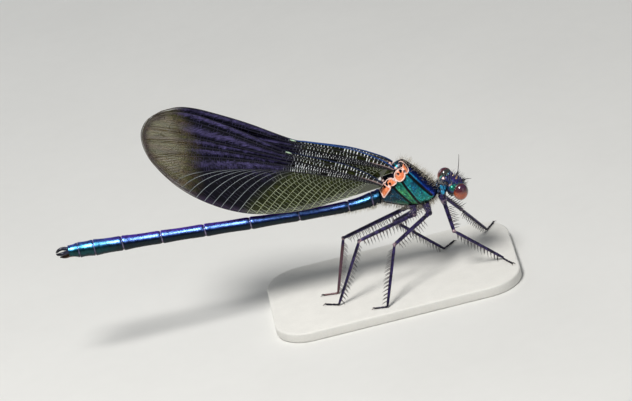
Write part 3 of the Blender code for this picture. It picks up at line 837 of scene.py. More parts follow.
@dataclass(frozen=True)
class Thorax:
    """The two fused wing-bearing segments: metallic side plates between black seams."""

    rear_end = -2.05
    sections: tuple[tuple[float, ...], ...] = (
        (-2.05, 0.42, 1.95, 0.72, 0.10), (-1.50, 0.10, 3.00, 1.10, 0.30), (-0.60, -0.30, 3.95, 1.50, 0.42),
        (0.40, -0.72, 4.72, 1.78, 0.45), (1.30, -1.00, 4.80, 1.88, 0.52), (2.20, -1.10, 3.90, 1.86, 0.60),
        (3.00, -1.06, 2.84, 1.72, 0.62), (3.65, -0.85, 1.94, 1.42, 0.50), (4.05, -0.55, 1.40, 1.02, 0.30))
    rings: int = 150
    sides: int = 168
    humeral: Seam = Seam((1.30, 3.85), (3.55, 0.42))
    interpleural: Seam = Seam((0.60, 3.08), (1.98, -0.30))
    metapleural: Seam = Seam((-0.42, 2.45), (1.05, -0.05))
    seam_width: float = 0.17
    seam_depth: float = 0.11
    plate_swell: float = 0.07
    beds: tuple[tuple[float, float, float], ...] = (
        (1.15, 4.20, 0.70), (0.60, 3.60, 0.85), (-0.60, 2.90, 0.72), (-1.40, 2.20, 0.80), (-0.2, 4.0, 0.8),
        (-1.4, 3.0, 0.8))
    lower_edge: tuple[tuple[float, float], ...] = (
        (-2.2, 0.62), (-1.2, 0.35), (0.4, -0.28), (1.4, -0.42), (2.4, -0.40), (3.4, -0.22), (4.2, 0.1))

    def rounded(self) -> Points:
        """Rings of the plain form, with both ends drawn in."""
        table = through(self.sections, self.rings)
        shapes = [(table[0], share, step) for share, step in ((0.25, -0.22), (0.6, -0.16), (0.85, -0.08))]
        shapes += [(row, 1.0, 0.0) for row in table]
        shapes += [(table[-1], share, step) for share, step in ((0.88, 0.10), (0.62, 0.20), (0.28, 0.26))]
        turn = 2 * np.pi * (np.arange(self.sides) + 0.5) / self.sides
        rise = np.sin(turn)
        rings = []
        for (x, low, high, wide, roof), share, step in shapes:
            across = wide * np.cos(turn) * (1 - roof * np.maximum(0, rise) ** 1.5) * share
            upward = (low + high) / 2 + (high - low) / 2 * rise * share
            rings.append(np.column_stack([np.full(self.sides, x + step), across, upward]))
        return np.array(rings)

    def half_width_at(self, x: Points, z: Points) -> Points:
        """Half width of the plain form at places given by X and Z."""
        table = np.array(self.sections)
        low, high, wide, roof = (np.interp(x, table[:, 0], table[:, k]) for k in (1, 2, 3, 4))
        rise = np.clip((z - (low + high) / 2) * 2 / (high - low), -0.985, 0.985)
        return wide * np.sqrt(1 - rise ** 2) * (1 - roof * np.maximum(0, rise) ** 1.5)

    def fields(self, places: Points) -> tuple[Points, Points, Points, Points]:
        """Distance in front of each of the three seams, and to the nearest of them."""
        found, near = [], np.full(len(places), 9.0)
        for seam in (self.humeral, self.interpleural, self.metapleural):
            ahead, down = seam.reach(places)
            past = np.maximum(np.maximum(-down - 0.02, down - 1.02), 0) * 3
            near = np.minimum(near, np.hypot(ahead, past))
            found.append(ahead)
        return found[0], found[1], found[2], near

    def hidden(self, places: Points) -> Points:
        """Share of painted shade under the orange plates at each place, which darkens the skin seen through
        their pits.
        """
        bed = np.zeros(len(places))
        for x, z, reach in self.beds:
            bed = np.maximum(bed, ease(reach, reach * 0.8, np.hypot(places[:, 0] - x, places[:, 2] - z)))
        return bed

    def foot_line(self, places: Points) -> Points:
        """Height above the lower edge of the side plates."""
        return places[:, 2] - np.interp(places[:, 0], *np.transpose(self.lower_edge))

    def tones(self, places: Points, normals: Points) -> Points:
        """Colours of the side plates, the crest, the seams and the underside, with painted glints and a painted
        highlight along the plate edges beside the seams.
        """
        ahead, middle, rear, near = self.fields(places)
        above = self.foot_line(places)
        x, y, z = places.T
        grain = speckle(places, 0.5) * 0.5 + speckle(places, 0.14) * 0.7
        front = layered((0.004, 0.03, 0.26), ((0.003, 0.006, 0.045), ease(0.15, 0.75, ahead + grain * 0.12)),
                        ((0.012, 0.34, 0.62), ease(0.34, 0.14, ahead) * ease(1.6, 3.0, z) * 0.9))
        second = layered((0.012, 0.27, 0.24), ((0.006, 0.10, 0.20), ease(-0.45, 0.5, grain)),
                         ((0.012, 0.30, 0.40), ease(2.3, 3.6, z) * 0.8),
                         ((0.012, 0.22, 0.12), ease(1.2, 0.2, above) * 0.6))
        third = layered((0.060, 0.30, 0.10), ((0.006, 0.12, 0.11), ease(-0.4, 0.4, grain)),
                        ((0.01, 0.24, 0.20), ease(1.7, 2.6, z) * 0.8))
        fourth = blend((0.004, 0.040, 0.075), (0.020, 0.17, 0.09), ease(1.0, 0.3, above) * ease(-1.2, 0.2, x))
        tone = layered(third, (fourth, ease(0.05, -0.05, rear)), (second, ease(-0.05, 0.05, middle)),
                       (front, ease(-0.05, 0.05, ahead)))
        # painted highlights: random glints on the plates, and a brighter strip along each plate's edge beside
        # the seams
        painted_glints = ease(0.22, 0.5, speckle(places + 7.0, 0.13)) * ease(0.15, 0.4, near)
        edge = ease(0.34, 0.22, near) * ease(0.12, 0.2, near)
        tone = tone * (0.85 + 2.4 * painted_glints[:, None]) * (1 + 0.9 * edge[:, None])
        crest = ease(0.75, 0.45, np.abs(y)) * ease(0.2, 0.6, normals[:, 2] + normals[:, 0])
        return layered(
            tone,
            # painted shade under the orange hinge plates
            ((0.008, 0.005, 0.010), self.hidden(places)),
            ((0.006, 0.004, 0.018), crest * 0.95),
            ((0.008, 0.010, 0.03), ease(0.5, 0.1, x) * ease(0.35, 0.7, normals[:, 2])),
            ((0.006, 0.008, 0.018), ease(-1.55, -1.9, x)),
            ((0.003, 0.004, 0.007), ease(self.seam_width * 1.15, self.seam_width * 0.45, near)),
            ((0.006, 0.005, 0.010), ease(0.10, -0.06, above)),
            ((0.03, 0.02, 0.018), ease(-0.55, -0.9, normals[:, 2]) * 0.7))

    def build(self, fit: BodyFit, wardrobe: Wardrobe) -> None:
        """Builds the skin with its furrows, and the pale hairs of its crest and underside.

        Args:
            fit: where it goes.
            wardrobe: the finishes.
        """
        skin = loft("thorax_skin", self.rounded())
        places, normals = corners_of(skin), normals_of(skin)
        above = self.foot_line(places)
        near = self.fields(places)[3]
        sideways = ease(0.15, 0.5, np.abs(places[:, 1]))
        furrow = ease(self.seam_width, 0.0, near) * sideways * ease(-0.3, 0.1, above)
        swell = ease(0.0, 0.45, near) * ease(0.0, 0.5, above) * sideways
        ledge = ease(0.12, 0.0, np.abs(above)) * 0.06
        spine = (ease(0.12, 0.0, np.abs(places[:, 1])) * ease(0.0, 0.4, normals[:, 2])
                 * ease(0.6, 1.4, places[:, 0]))
        rough = speckle(places, 0.22) * 0.010 + speckle(places, 0.6) * 0.015
        push = swell * self.plate_swell - furrow * self.seam_depth - ledge + spine * 0.09 + rough
        places = places + normals * push[:, None]
        move_corners(skin, places)
        normals = normals_of(skin)
        paint(skin, self.tones(places, normals))
        pelts = self.hairs(skin)
        fit.settle(skin, wardrobe.thorax, ["pterothorax"])
        for pelt in pelts:
            fit.settle(pelt, wardrobe.hair, sharp=50)

    def hairs(self, skin: bpy.types.Object) -> list[bpy.types.Object]:
        """Grows the hairs of the crest, the underside and, sparsely, the plates."""
        pale = ((0.50, 0.45, 0.34), (0.34, 0.30, 0.25), (0.66, 0.62, 0.52))

        def crest(spots: Points, facing: Points) -> Points:
            """Along the top of the thorax."""
            return (ease(1.3, 0.3, np.abs(spots[:, 1])) * ease(0.25, 0.7, facing[:, 2] + facing[:, 0] * 0.6)
                    * ease(0.3, 1.2, spots[:, 0]))

        def under(spots: Points, facing: Points) -> Points:
            """Below the side plates."""
            return ease(0.15, -0.25, self.foot_line(spots)) * ease(-0.1, -0.5, facing[:, 2])

        def plates(spots: Points, facing: Points) -> Points:
            """Sparsely on the side plates."""
            return ease(0.2, 0.6, np.abs(facing[:, 1])) * ease(0.1, 0.4, self.foot_line(spots))

        coats = (("crest", 380, (0.35, 0.85), 0.012, (0.35, 0, 0.25), crest),
                 ("belly", 700, (0.3, 0.75), 0.017, (-0.2, 0, -0.4), under),
                 ("side", 120, (0.10, 0.22), 0.009, (-0.5, 0, -0.5), plates))
        return [Pelt(f"thorax_{word}_hairs", count, length, radius, pale, lean, seed=SEED + 2 + order)
                .grow(skin, share) for order, (word, count, length, radius, lean, share) in enumerate(coats)]


@dataclass(frozen=True)
class Prothorax:
    """The small first segment: a collar, two lobes, a raised hind edge and the slim neck."""

    lumps: tuple[tuple[tuple[float, float, float], tuple[float, float, float]], ...] = (
        ((4.42, 0.0, 0.32), (0.34, 0.80, 0.82)), ((4.92, 0.0, 0.20), (0.42, 0.84, 0.74)),
        ((4.62, 0.0, 0.88), (0.18, 0.66, 0.44)), ((5.24, 0.0, 0.26), (0.22, 0.66, 0.60)),
        ((4.90, 0.46, 0.62), (0.30, 0.36, 0.36)), ((4.90, -0.46, 0.62), (0.30, 0.36, 0.36)),
        ((4.86, 0.62, -0.12), (0.40, 0.34, 0.46)), ((4.86, -0.62, -0.12), (0.40, 0.34, 0.46)),
        ((5.50, 0.16, 0.02), (0.42, 0.58, 0.50)))
    neck: tuple[tuple[float, float, float], ...] = ((5.0, 0.0, 0.28), (5.5, 0.04, 0.30), (5.9, 0.14, 0.32))
    neck_radius: float = 0.50
    bulges: tuple[tuple[float, float], ...] = ((4.88, 0.62), (4.92, 0.10), (5.2, 0.42))

    def tones(self, places: Points) -> Points:
        """Dark blue with painted cyan highlights on the bulges and a dark neck."""
        grain = speckle(places, 0.3)
        tone = blend((0.004, 0.010, 0.030), (0.008, 0.05, 0.16), ease(-0.2, 0.5, grain))
        # painted highlights: cyan spots on the tops of the bulges
        for x, z in self.bulges:
            spot = np.hypot((places[:, 0] - x) * 1.1, places[:, 2] - z)
            tone = blend(tone, (0.03, 0.40, 0.70), ease(0.34, 0.12, spot + grain * 0.05))
        return layered(tone, ((0.03, 0.02, 0.025), ease(5.38, 5.55, places[:, 0]) * 0.9),
                       ((0.006, 0.005, 0.010), ease(-0.1, -0.4, places[:, 2])))

    def build(self, fit: BodyFit, wardrobe: Wardrobe) -> None:
        """Builds the prothorax and its hairs."""
        parts = [lump(centre, axes) for centre, axes in self.lumps]
        path = through(self.neck, 8)
        parts.append(rod(path, [self.neck_radius] * 8, fineness=6))
        skin = fuse("prothorax_skin", parts, 0.035, easing=3)
        places = corners_of(skin)
        paint(skin, self.tones(places))
        pelt = Pelt("prothorax_hairs", 150, (0.2, 0.5), 0.012, ((0.6, 0.58, 0.5), (0.3, 0.28, 0.26)),
                    lean=(0.1, 0, 0.2), seed=SEED + 5)

        def share(spots: Points, facing: Points) -> Points:
            """On top, as far as the neck."""
            return ease(-0.2, 0.6, facing[:, 2]) * ease(5.5, 5.2, spots[:, 0])

        hairs = pelt.grow(skin, share)
        fit.settle(skin, wardrobe.head, ["prothorax_neck"])
        fit.settle(hairs, wardrobe.hair, sharp=50)


# ---- head


@dataclass(frozen=True)
class Head:
    """The wide head between two round eyes, turned to its left, with feelers and mouthparts."""

    centre: Vector = field(default_factory=lambda: Vector((6.30, 0.28, 0.34)))
    yaw: float = math.radians(23.0)
    roll: float = math.radians(17.0)
    pitch: float = math.radians(8.0)
    eye_offset: tuple[float, float, float] = (-0.04, 1.68, -0.10)
    eye_axes: tuple[float, float, float] = (0.87, 0.86, 1.03)
    antenna_base: tuple[float, float, float] = (0.78, 0.60, 0.26)
    scape: tuple[float, float, float] = (0.25, 0.12, 0.34)
    ocelli: tuple[tuple[float, float, float], ...] = (
        (0.46, 0.0, 0.70), (0.16, 0.32, 0.78), (0.16, -0.32, 0.78))

    @property
    def placing(self) -> Matrix:
        """From the head's own axes to the body's."""
        turn = (Matrix.Rotation(self.yaw, 4, "Z") @ Matrix.Rotation(self.roll, 4, "X")
                @ Matrix.Rotation(self.pitch, 4, "Y"))
        return Matrix.Translation(self.centre) @ turn

    def skin_lumps(self) -> list[bpy.types.Object]:
        """The overlapping forms of the head between the eyes."""
        forms = [
            ((0.0, 0, 0.02), (0.80, 1.30, 0.76)), ((-0.30, 0, 0.0), (0.52, 1.42, 0.66)),
            ((0.46, 0, -0.02), (0.72, 0.92, 0.62)), ((0.98, 0, -0.16), (0.40, 0.74, 0.34)),
            ((1.12, 0, -0.52), (0.28, 0.60, 0.24)), ((0.60, 0, 0.40), (0.40, 0.80, 0.26)),
        ]
        for sign in (1, -1):
            forms += [((x, sign * y, z), axes) for x, y, z, axes in (
                (0.52, 0.86, -0.42, (0.42, 0.36, 0.40)), (0.70, 0.60, 0.24, (0.20, 0.20, 0.18)),
                (-0.42, 0.80, 0.30, (0.30, 0.50, 0.32)), (0.20, 1.15, 0.32, (0.50, 0.42, 0.42)),
                (-0.76, 0.92, -0.05, (0.44, 0.62, 0.66)), (-0.56, 0.74, -0.55, (0.50, 0.58, 0.48)))]
        return [lump(centre, axes, fineness=28) for centre, axes in forms]

    def tones(self, places: Points) -> Points:
        """Blue-violet on top, metallic green behind and below the eyes, black folds, and a painted pale
        highlight behind each eye.
        """
        grain = speckle(places, 0.35) * 0.5 + speckle(places, 0.12) * 0.4
        x, z = places[:, 0], places[:, 2]
        aside = np.abs(places[:, 1])
        # painted highlight: a pale spot behind each eye
        spot = np.hypot(x + 0.86, aside - 0.72)
        return layered(
            (0.008, 0.030, 0.20),
            ((0.070, 0.028, 0.26), ease(-0.3, 0.4, grain)),
            ((0.012, 0.05, 0.11), ease(-0.1, -0.5, x) * 0.6),
            ((0.008, 0.24, 0.17), ease(0.85, 1.1, aside) * ease(0.0, 0.3, z) * ease(0.9, 0.5, z)
             * ease(0.4, 0.0, x)),
            ((0.004, 0.004, 0.010), ease(0.05, -0.25, z) * ease(0.35, 0.0, x)),
            ((0.01, 0.20, 0.22), ease(0.95, 1.1, x) * ease(-0.42, -0.25, z)),
            ((0.012, 0.03, 0.12), ease(-0.36, -0.46, z) * ease(0.8, 1.0, x)),
            ((0.003, 0.003, 0.006), ease(0.05, 0.02, np.abs(z + 0.37)) * ease(0.8, 0.95, x)),
            ((0.62, 0.44, 0.42), ease(0.26, 0.14, spot) * ease(0.0, 0.3, z) * 0.9))

    def eye_tones(self, places: Points, sign: int) -> Points:
        """Dark red-brown above with a purple cap on top that is painted sky reflection, orange-red in the
        middle, dark in front, pale round the rear rim.
        """
        away = (places - np.array([self.eye_offset[0], sign * self.eye_offset[1], self.eye_offset[2]]))
        away /= np.array(self.eye_axes)
        away /= np.linalg.norm(away, axis=1)[:, None]
        ahead, outward, up = away[:, 0], away[:, 1] * sign, away[:, 2]
        wave = speckle(places, 0.5) * 0.12
        rim = ease(0.22, 0.05, np.abs(outward - 0.05)) * ease(0.1, 0.5, up)
        return layered(
            (0.42, 0.070, 0.012),
            ((0.085, 0.014, 0.022), ease(0.0, 0.55, up + wave)),
            # painted reflection: the purple cap stands in for the sky reflected on top of the eye
            ((0.055, 0.014, 0.050), ease(0.5, 0.9, up)),
            ((0.010, 0.004, 0.006), ease(0.25, 0.75, ahead + wave * 0.6)),
            ((0.10, 0.065, 0.05), ease(-0.35, -0.8, up) * 0.7),
            ((0.46, 0.30, 0.24), ease(-0.55, -0.9, ahead * 0.6 + up * 0.75) * 0.8),
            ((0.030, 0.045, 0.035), ease(0.15, -0.35, outward) * 0.9),
            ((0.10, 0.006, 0.006), rim * 0.7))

    def build(self, fit: BodyFit, wardrobe: Wardrobe) -> None:
        """Builds the skin, eyes, ocelli, feelers, mouthparts and bristles of the head."""
        placing = self.placing
        skin = fuse("head_skin", self.skin_lumps(), 0.03, easing=3)
        places = corners_of(skin)
        paint(skin, self.tones(places))
        dark = ((0.03, 0.025, 0.03), (0.12, 0.10, 0.10), (0.40, 0.36, 0.34))

        def crown(spots: Points, facing: Points) -> Points:
            """On top of the head."""
            return ease(0.1, 0.5, facing[:, 2] + facing[:, 0] * 0.5) * ease(1.25, 0.9, np.abs(spots[:, 1]))

        def face(spots: Points, facing: Points) -> Points:
            """On the lower part of the face."""
            return ease(0.2, 0.7, facing[:, 0]) * ease(0.1, -0.2, spots[:, 2])

        bristles = Pelt("head_bristles", 190, (0.3, 0.75), 0.014, dark, lean=(0.35, 0, 0.3), spread=0.25,
                        seed=SEED + 6).grow(skin, crown)
        beard = Pelt("face_hairs", 220, (0.2, 0.4), 0.012, dark, lean=(0.4, 0, -0.2), spread=0.3,
                     seed=SEED + 7).grow(skin, face)
        for piece, finish, nodes in ((skin, wardrobe.head, ["head"]), (bristles, wardrobe.hair, []),
                                     (beard, wardrobe.hair, [])):
            piece.data.transform(placing)
            fit.settle(piece, finish, nodes)
        for side in Side:
            self.eye(side, fit, wardrobe)
            self.feeler(side, fit, wardrobe)
        for number, place in enumerate(self.ocelli):
            bead = lump(place, (0.12, 0.12, 0.11), fineness=24)
            bead.name = f"ocellus_{number}"
            bead.data.transform(placing)
            fit.settle(bead, wardrobe.ocellus)
        self.mouth(fit, wardrobe)

    def eye(self, side: Side, fit: BodyFit, wardrobe: Wardrobe) -> None:
        """Builds one round compound eye, a little taller than it is wide."""
        x, y, z = self.eye_offset
        ball = lump((x, side.value * y, z), self.eye_axes, fineness=96)
        ball.name = f"eye_{side.word}_globe"
        paint(ball, self.eye_tones(corners_of(ball), side.value))
        ball.data.transform(self.placing)
        fit.settle(ball, wardrobe.eye, [f"eye_{side.word}"])

    def feeler(self, side: Side, fit: BodyFit, wardrobe: Wardrobe) -> None:
        """Builds one antenna: two thick joints and a fine whip."""
        base = np.array(self.antenna_base)
        elbow = base + np.array(self.scape)
        reach = np.array((0.47, 0.76, 1.98) if side is Side.LEFT else (-0.45, 1.95, 1.55))
        bow = np.array([0.12, 0.0, 0.10])
        steps = np.linspace(0, 1, 12)
        whip = elbow + np.outer(steps, reach) + np.outer(steps * (1 - steps), bow) * 2
        line = np.vstack([base - np.array(self.scape) * 0.3, base, base + (elbow - base) * 0.5,
                          elbow, whip[1:]])
        radii = [0.13, 0.14, 0.15, 0.10] + [0.05 * (1 - 0.6 * step) for step in steps[1:]]
        shape = rod(line * (1, side.value, 1), radii, f"antenna_{side.word}_whip", fineness=3)
        places = corners_of(shape)
        away = np.linalg.norm(places - base * (1, side.value, 1), axis=1)
        paint(shape, blend((0.012, 0.014, 0.03), (0.05, 0.035, 0.04), ease(0.3, 1.2, away)))
        shape.data.transform(self.placing)
        fit.settle(shape, wardrobe.leg, [f"antenna_{side.word}"])

    def mouth(self, fit: BodyFit, wardrobe: Wardrobe) -> None:
        """Builds the mandibles and the labium under the face."""
        forms = [lump((0.40, 0, -0.86), (0.46, 0.52, 0.34)), lump((0.24, 0, -1.05), (0.34, 0.40, 0.24))]
        for sign in (1, -1):
            forms.append(lump((0.80, sign * 0.42, -0.74), (0.34, 0.26, 0.24), (0, 0.4, sign * 0.5)))
            forms.append(lump((0.30, sign * 0.38, -1.04), (0.30, 0.16, 0.24), (0, 0.2, sign * 0.3)))
        skin = fuse("mouthparts_skin", forms, 0.03, easing=3)
        places = corners_of(skin)
        tone = blend((0.03, 0.022, 0.03), (0.16, 0.10, 0.06), ease(0.5, 0.1, places[:, 0]) * 0.6)
        paint(skin, tone)
        skin.data.transform(self.placing)
        fit.settle(skin, wardrobe.leg, ["mouthparts"])


# ---- wings


@dataclass(frozen=True)
class WingPair:
    """Where a pair of wings is hinged and how it stands."""

    name: str
    x: float
    z: float
    angle: float
    size: float
    root_y: float
    plane_y: float
    sink: float
    nodus: float
    hinge: tuple[float, float, float]
    edge: Colour


class VeinKind(Enum):
    """What a vein does in its wing."""

    EDGE = "leading edge or rim"
    TRUNK = "long vein that starts at the hinge"
    FORK = "vein that leaves another one on the way to the tip"
    COMB = "curved branch to the hind margin"


@dataclass
class Vein:
    """One vein, as a line in the wing's plane with its height in the pleats."""

    kind: VeinKind
    flat: Points
    level: Points
    share: float
    start: float = 0.0


@dataclass(frozen=True)
class Wing:
    """One wing: a pleated membrane, its long veins and the ladder of cross-veins between them."""

    leading: tuple[tuple[float, float], ...] = (
        (0.45, 0.30), (1.6, 0.62), (5.2, 1.34), (9.8, 1.55), (12.1, 1.70), (17.1, 2.97), (21.0, 3.72),
        (23.5, 4.06), (25.4, 3.96), (27.1, 3.30))
    margin: tuple[tuple[float, float], ...] = (
        (27.1, 3.30), (28.2, 2.35), (28.65, 1.10), (28.5, -0.15), (27.7, -1.70), (26.2, -3.30),
        (23.3, -5.15), (20.0, -6.35), (16.4, -6.90), (12.8, -6.65), (8.4, -5.30), (4.7, -3.45), (2.3, -2.10))
    foot: tuple[float, float] = (0.45, -0.95)
    trunks: tuple[float, ...] = (0.0, 0.035, 0.075, 0.125, 0.19, 0.29)
    comb_count: int = 22
    comb_first: float = 0.325
    comb_root: tuple[float, float] = (0.80, -2.6)  # where a branch leaves, from where it ends
    pleat_knots: tuple[float, ...] = (
        0.0, 0.0175, 0.035, 0.055, 0.075, 0.10, 0.125, 0.157, 0.19, 0.24, 0.29, 1.0)
    pleat_levels: tuple[float, ...] = (0.2, 1.0, -1.0, 1.0, -1.0, 1.0, -1.0, 1.0, -1.0, 0.9, 0.0, 0.0)
    pleat: float = 0.14
    settle_length: float = 3.0
    left_drop: float = math.radians(1.2)
    gap: float = 0.68
    columns: int = 150
    fineness: int = 400
    rung_step: float = 0.38
    close_step: float = 0.27
    comb_step: float = 0.40
    rung_radii: tuple[float, float, float] = (0.048, 0.036, 0.019)

    @cached_property
    def front_line(self) -> Points:
        """The leading edge as a fine line."""
        return through(self.leading, 160)

    @cached_property
    def rim_line(self) -> Points:
        """The outer and hind margin as a fine line."""
        return through(self.margin, 160)

    def rail(self, share: float, steps: Points) -> Points:
        """Points of the fan line at a share across the wing, at shares of its length.

        Args:
            share: 0 at the leading edge and 1 at the hind edge.
            steps: shares of the way from the root to the margin.

        Returns:
            Distance from the root and height towards the leading edge, point by point.
        """
        top, foot = np.array(self.leading[0]), np.array(self.foot)
        knots = np.linspace(0, 1, len(self.front_line))
        front = np.column_stack([np.interp(steps, knots, column) for column in self.front_line.T])
        if share <= 0:
            return front
        end = np.array([np.interp(share, knots, column) for column in self.rim_line.T])
        root = top + (foot - top) * share ** 0.45
        bow = float(np.interp(share, (0.0, 0.29, 0.5, 1.0), (1.9, 0.1, -0.6, -1.4)))
        bend = np.array([0.62 * end[0] + 0.3, bow])
        t = steps[:, None]
        line = root * (1 - t) ** 2 + bend * 2 * t * (1 - t) + end * t * t
        if share >= 0.995:
            line = root + (end - root) * t
        weight = float(ease(0.0, 0.075, np.array([share]))[0])
        return front * (1 - weight) + line * weight

    def fold(self, share: float, steps: Points) -> Points:
        """How far the membrane stands out of the wing's plane, up on one vein and down on the next."""
        level = float(np.interp(share, self.pleat_knots, self.pleat_levels))
        return level * self.pleat * (0.35 + 0.65 * np.minimum(1, steps * 5)) * (1 - 0.75 * steps ** 2)

    @cached_property
    def fan(self) -> list[Vein]:
        """The veins of the front part: trunks, and forks that start where two veins leave room."""
        steps = np.linspace(0, 1, self.fineness)
        found = [Vein(VeinKind.TRUNK if share else VeinKind.EDGE, self.rail(share, steps),
                      self.fold(share, steps), share) for share in self.trunks]
        for _ in range(4):
            found.sort(key=lambda vein: vein.share)
            for low, high in list(zip(found, found[1:])):
                apart = np.linalg.norm(low.flat - high.flat, axis=1)
                room = steps[(apart > self.gap) & (steps > max(low.start, high.start) + 0.01)]
                if not len(room) or room[0] > 0.94:
                    continue
                share, start = (low.share + high.share) / 2, float(room[0])
                line = self.rail(share, steps)
                leave = ease(start, start + 0.06, steps)[:, None]
                parent = low if len(found) % 2 else high
                line = parent.flat * (1 - leave) + line * leave
                found.append(Vein(VeinKind.FORK, line, self.fold(share, steps), share, start))
        found.sort(key=lambda vein: vein.share)
        return found

    @cached_property
    def comb(self) -> list[Vein]:
        """The curved branches from the hindmost trunk to the hind margin, like a comb."""
        steps = np.linspace(0, 1, self.fineness)
        trunk = self.rail(self.trunks[-1], steps)
        knots = np.linspace(0, 1, len(self.rim_line))
        found = []
        for share in np.linspace(self.comb_first, 0.985, self.comb_count):
            end = np.array([np.interp(share, knots, column) for column in self.rim_line.T])
            reach = max(0.9, self.comb_root[0] * end[0] + self.comb_root[1])
            begin = int(np.searchsorted(trunk[:, 0], reach))
            root = trunk[begin]
            run = trunk[min(begin + 8, len(trunk) - 1)] - root
            run /= np.linalg.norm(run)
            drop = abs(root[1] - end[1])
            first = root + run * max(end[0] - root[0], 0.6) * 0.50
            second = end + np.array([-0.20, 0.50]) * drop
            t = steps[:, None]
            line = (root * (1 - t) ** 3 + first * 3 * t * (1 - t) ** 2 + second * 3 * t * t * (1 - t)
                    + end * t ** 3)
            found.append(Vein(VeinKind.COMB, line, np.zeros(len(steps)), float(share)))
        return found

    def zones(self, flat: Points) -> tuple[Points, Points, Points]:
        """Shares of the dark band, of the smoky tip and of the rim, at places in the wing."""
        reach, height = flat[:, 0], flat[:, 1]
        wave = speckle(np.column_stack([flat, np.zeros(len(flat))]), 1.6) * 0.55
        start = np.interp(height, (-7.0, -5.0, -2.0, 0.0, 1.6, 2.6), (15.2, 14.0, 12.0, 10.9, 11.6, 11.9))
        dark = ease(-1.5, 1.3, reach - start + wave)
        end = np.interp(height, (-6.5, -3.0, 0.0, 2.0, 4.0), (21.5, 22.3, 23.0, 24.2, 25.6))
        tip = ease(-1.9, 2.1, reach - end + wave)
        near = reach > 10
        away = np.full(len(flat), 9.0)
        rim = self.rim_line[::2]
        if near.any():
            away[near] = nearest(flat[near], rim)
        return dark, tip, ease(0.85, 0.15, away)

    def membrane_look(self, flat: Points, level: Points) -> tuple[Points, Points]:
        """Colour and cover of the membrane, with painted sheen on the pleats and painted shade in the clear
        base.

        Args:
            flat: places in the wing's plane.
            level: height in the pleats, from -1 to 1.

        Returns:
            Colours, and how much light each place stops.
        """
        dark, tip, rim = self.zones(flat)
        spots = np.column_stack([flat, np.zeros(len(flat))])
        grain = speckle(spots, 0.45) * 0.5 + speckle(spots, 0.16) * 0.6
        # partly painted shade: the clear base is painted dark olive, partly the membrane's smoky tint and
        # partly the dark seen through it
        clear = blend((0.012, 0.016, 0.003), (0.046, 0.056, 0.010), ease(-0.4, 0.5, grain))
        upper = ease(-3.0, -0.6, flat[:, 1] + grain * 0.5)
        # painted sheen: the faces of the pleats that stand out are painted lighter violet in the dark band,
        # mostly in the front part of the wing
        painted_pleat_sheen = ease(-0.15, 0.85, level * 0.8 + grain * 1.2)
        painted_pleat_sheen = painted_pleat_sheen * (0.62 + 0.38 * ease(-0.25, 0.30, speckle(spots, 0.11)))
        band = blend((0.0012, 0.0014, 0.006), (0.120, 0.100, 0.270), painted_pleat_sheen * (0.03 + 0.97 * upper))
        streak = np.sin(flat[:, 1] * 5.2 + speckle(spots, 2.5) * 2.0) * 0.5 + 0.5
        smoke = blend((0.190, 0.185, 0.050), (0.200, 0.140, 0.070), streak)
        tone = layered(clear, (band, dark), (smoke, tip * 0.94),
                       ((0.045, 0.030, 0.065), rim * np.maximum(dark, tip) * 0.75))
        # the clear base stops nine tenths of the light, partly as painted shade
        stop = 0.90 + 0.09 * dark
        stop = stop * (1 - tip) + 0.36 * tip
        stop = stop + rim * tip * 0.30
        return tone, stop

    def vein_tone(self, flat: Points, vein: Vein, edge: Colour) -> Points:
        """Colour along a vein: near-black in front, pale in the comb, brown at the smoky tip."""
        dark, tip, _ = self.zones(flat)
        if vein.kind is VeinKind.COMB:
            tone = blend((0.40, 0.44, 0.28), (0.30, 0.34, 0.36), dark)
            fade = ease(-0.5, -2.8, flat[:, 1]) * 0.88 + 0.12
            return layered((0.03, 0.03, 0.05), (tone, fade), ((0.05, 0.045, 0.04), tip * 0.8))
        base = np.array(edge if vein.kind is VeinKind.EDGE else (0.006, 0.005, 0.012))
        stalk = ease(3.4, 1.0, flat[:, 0]) * (0.75 if vein.share == self.trunks[2] else 0.0)
        return layered(base, ((0.40, 0.27, 0.26), stalk), ((0.006, 0.005, 0.020), dark),
                       ((0.085, 0.070, 0.040), tip * 0.9))

    def rung_tone(self, flat: Points, glint_strength: float) -> Colour:
        """Colour of one cross-vein: whitish in the clear part, where the pale colour is a painted glint, violet
        or black in the band.
        """
        dark, tip, _ = self.zones(flat)
        # painted glint: the whitish colour of the cross-veins in the clear part, of random strength
        pale = np.array((0.92, 0.98, 1.0)) * glint_strength
        band = np.array((0.040, 0.032, 0.105)) * glint_strength
        return layered(pale, (band, dark), ((0.045, 0.034, 0.026), tip))[0]

    def placed(self, pair: WingPair, side: Side, flat: Points, level: Points) -> Points:
        """Brings places in the wing's plane to where the wing stands over the abdomen."""
        angle = pair.angle - (self.left_drop if side is Side.LEFT else 0.0)
        along = np.array([-math.cos(angle), 0, math.sin(angle)])
        upward = np.array([math.sin(angle), 0, math.cos(angle)])
        layer = pair.plane_y + (pair.root_y - pair.plane_y) * np.exp(-flat[:, 0] / self.settle_length)
        sink = pair.sink * ease(1.0, 8.0, flat[:, 0])
        spots = np.outer(flat[:, 0] * pair.size, along) + np.outer(flat[:, 1] * pair.size, upward)
        spots += np.array([pair.x, 0, pair.z])
        spots[:, 1] += side.value * layer + level
        spots[:, 2] -= sink
        pull = (0.66 * np.exp(-np.maximum(flat[:, 0] - 0.45, 0) / 0.75))[:, None]
        return spots * (1 - pull) + np.array(pair.hinge) * (1, side.value, 1) * pull

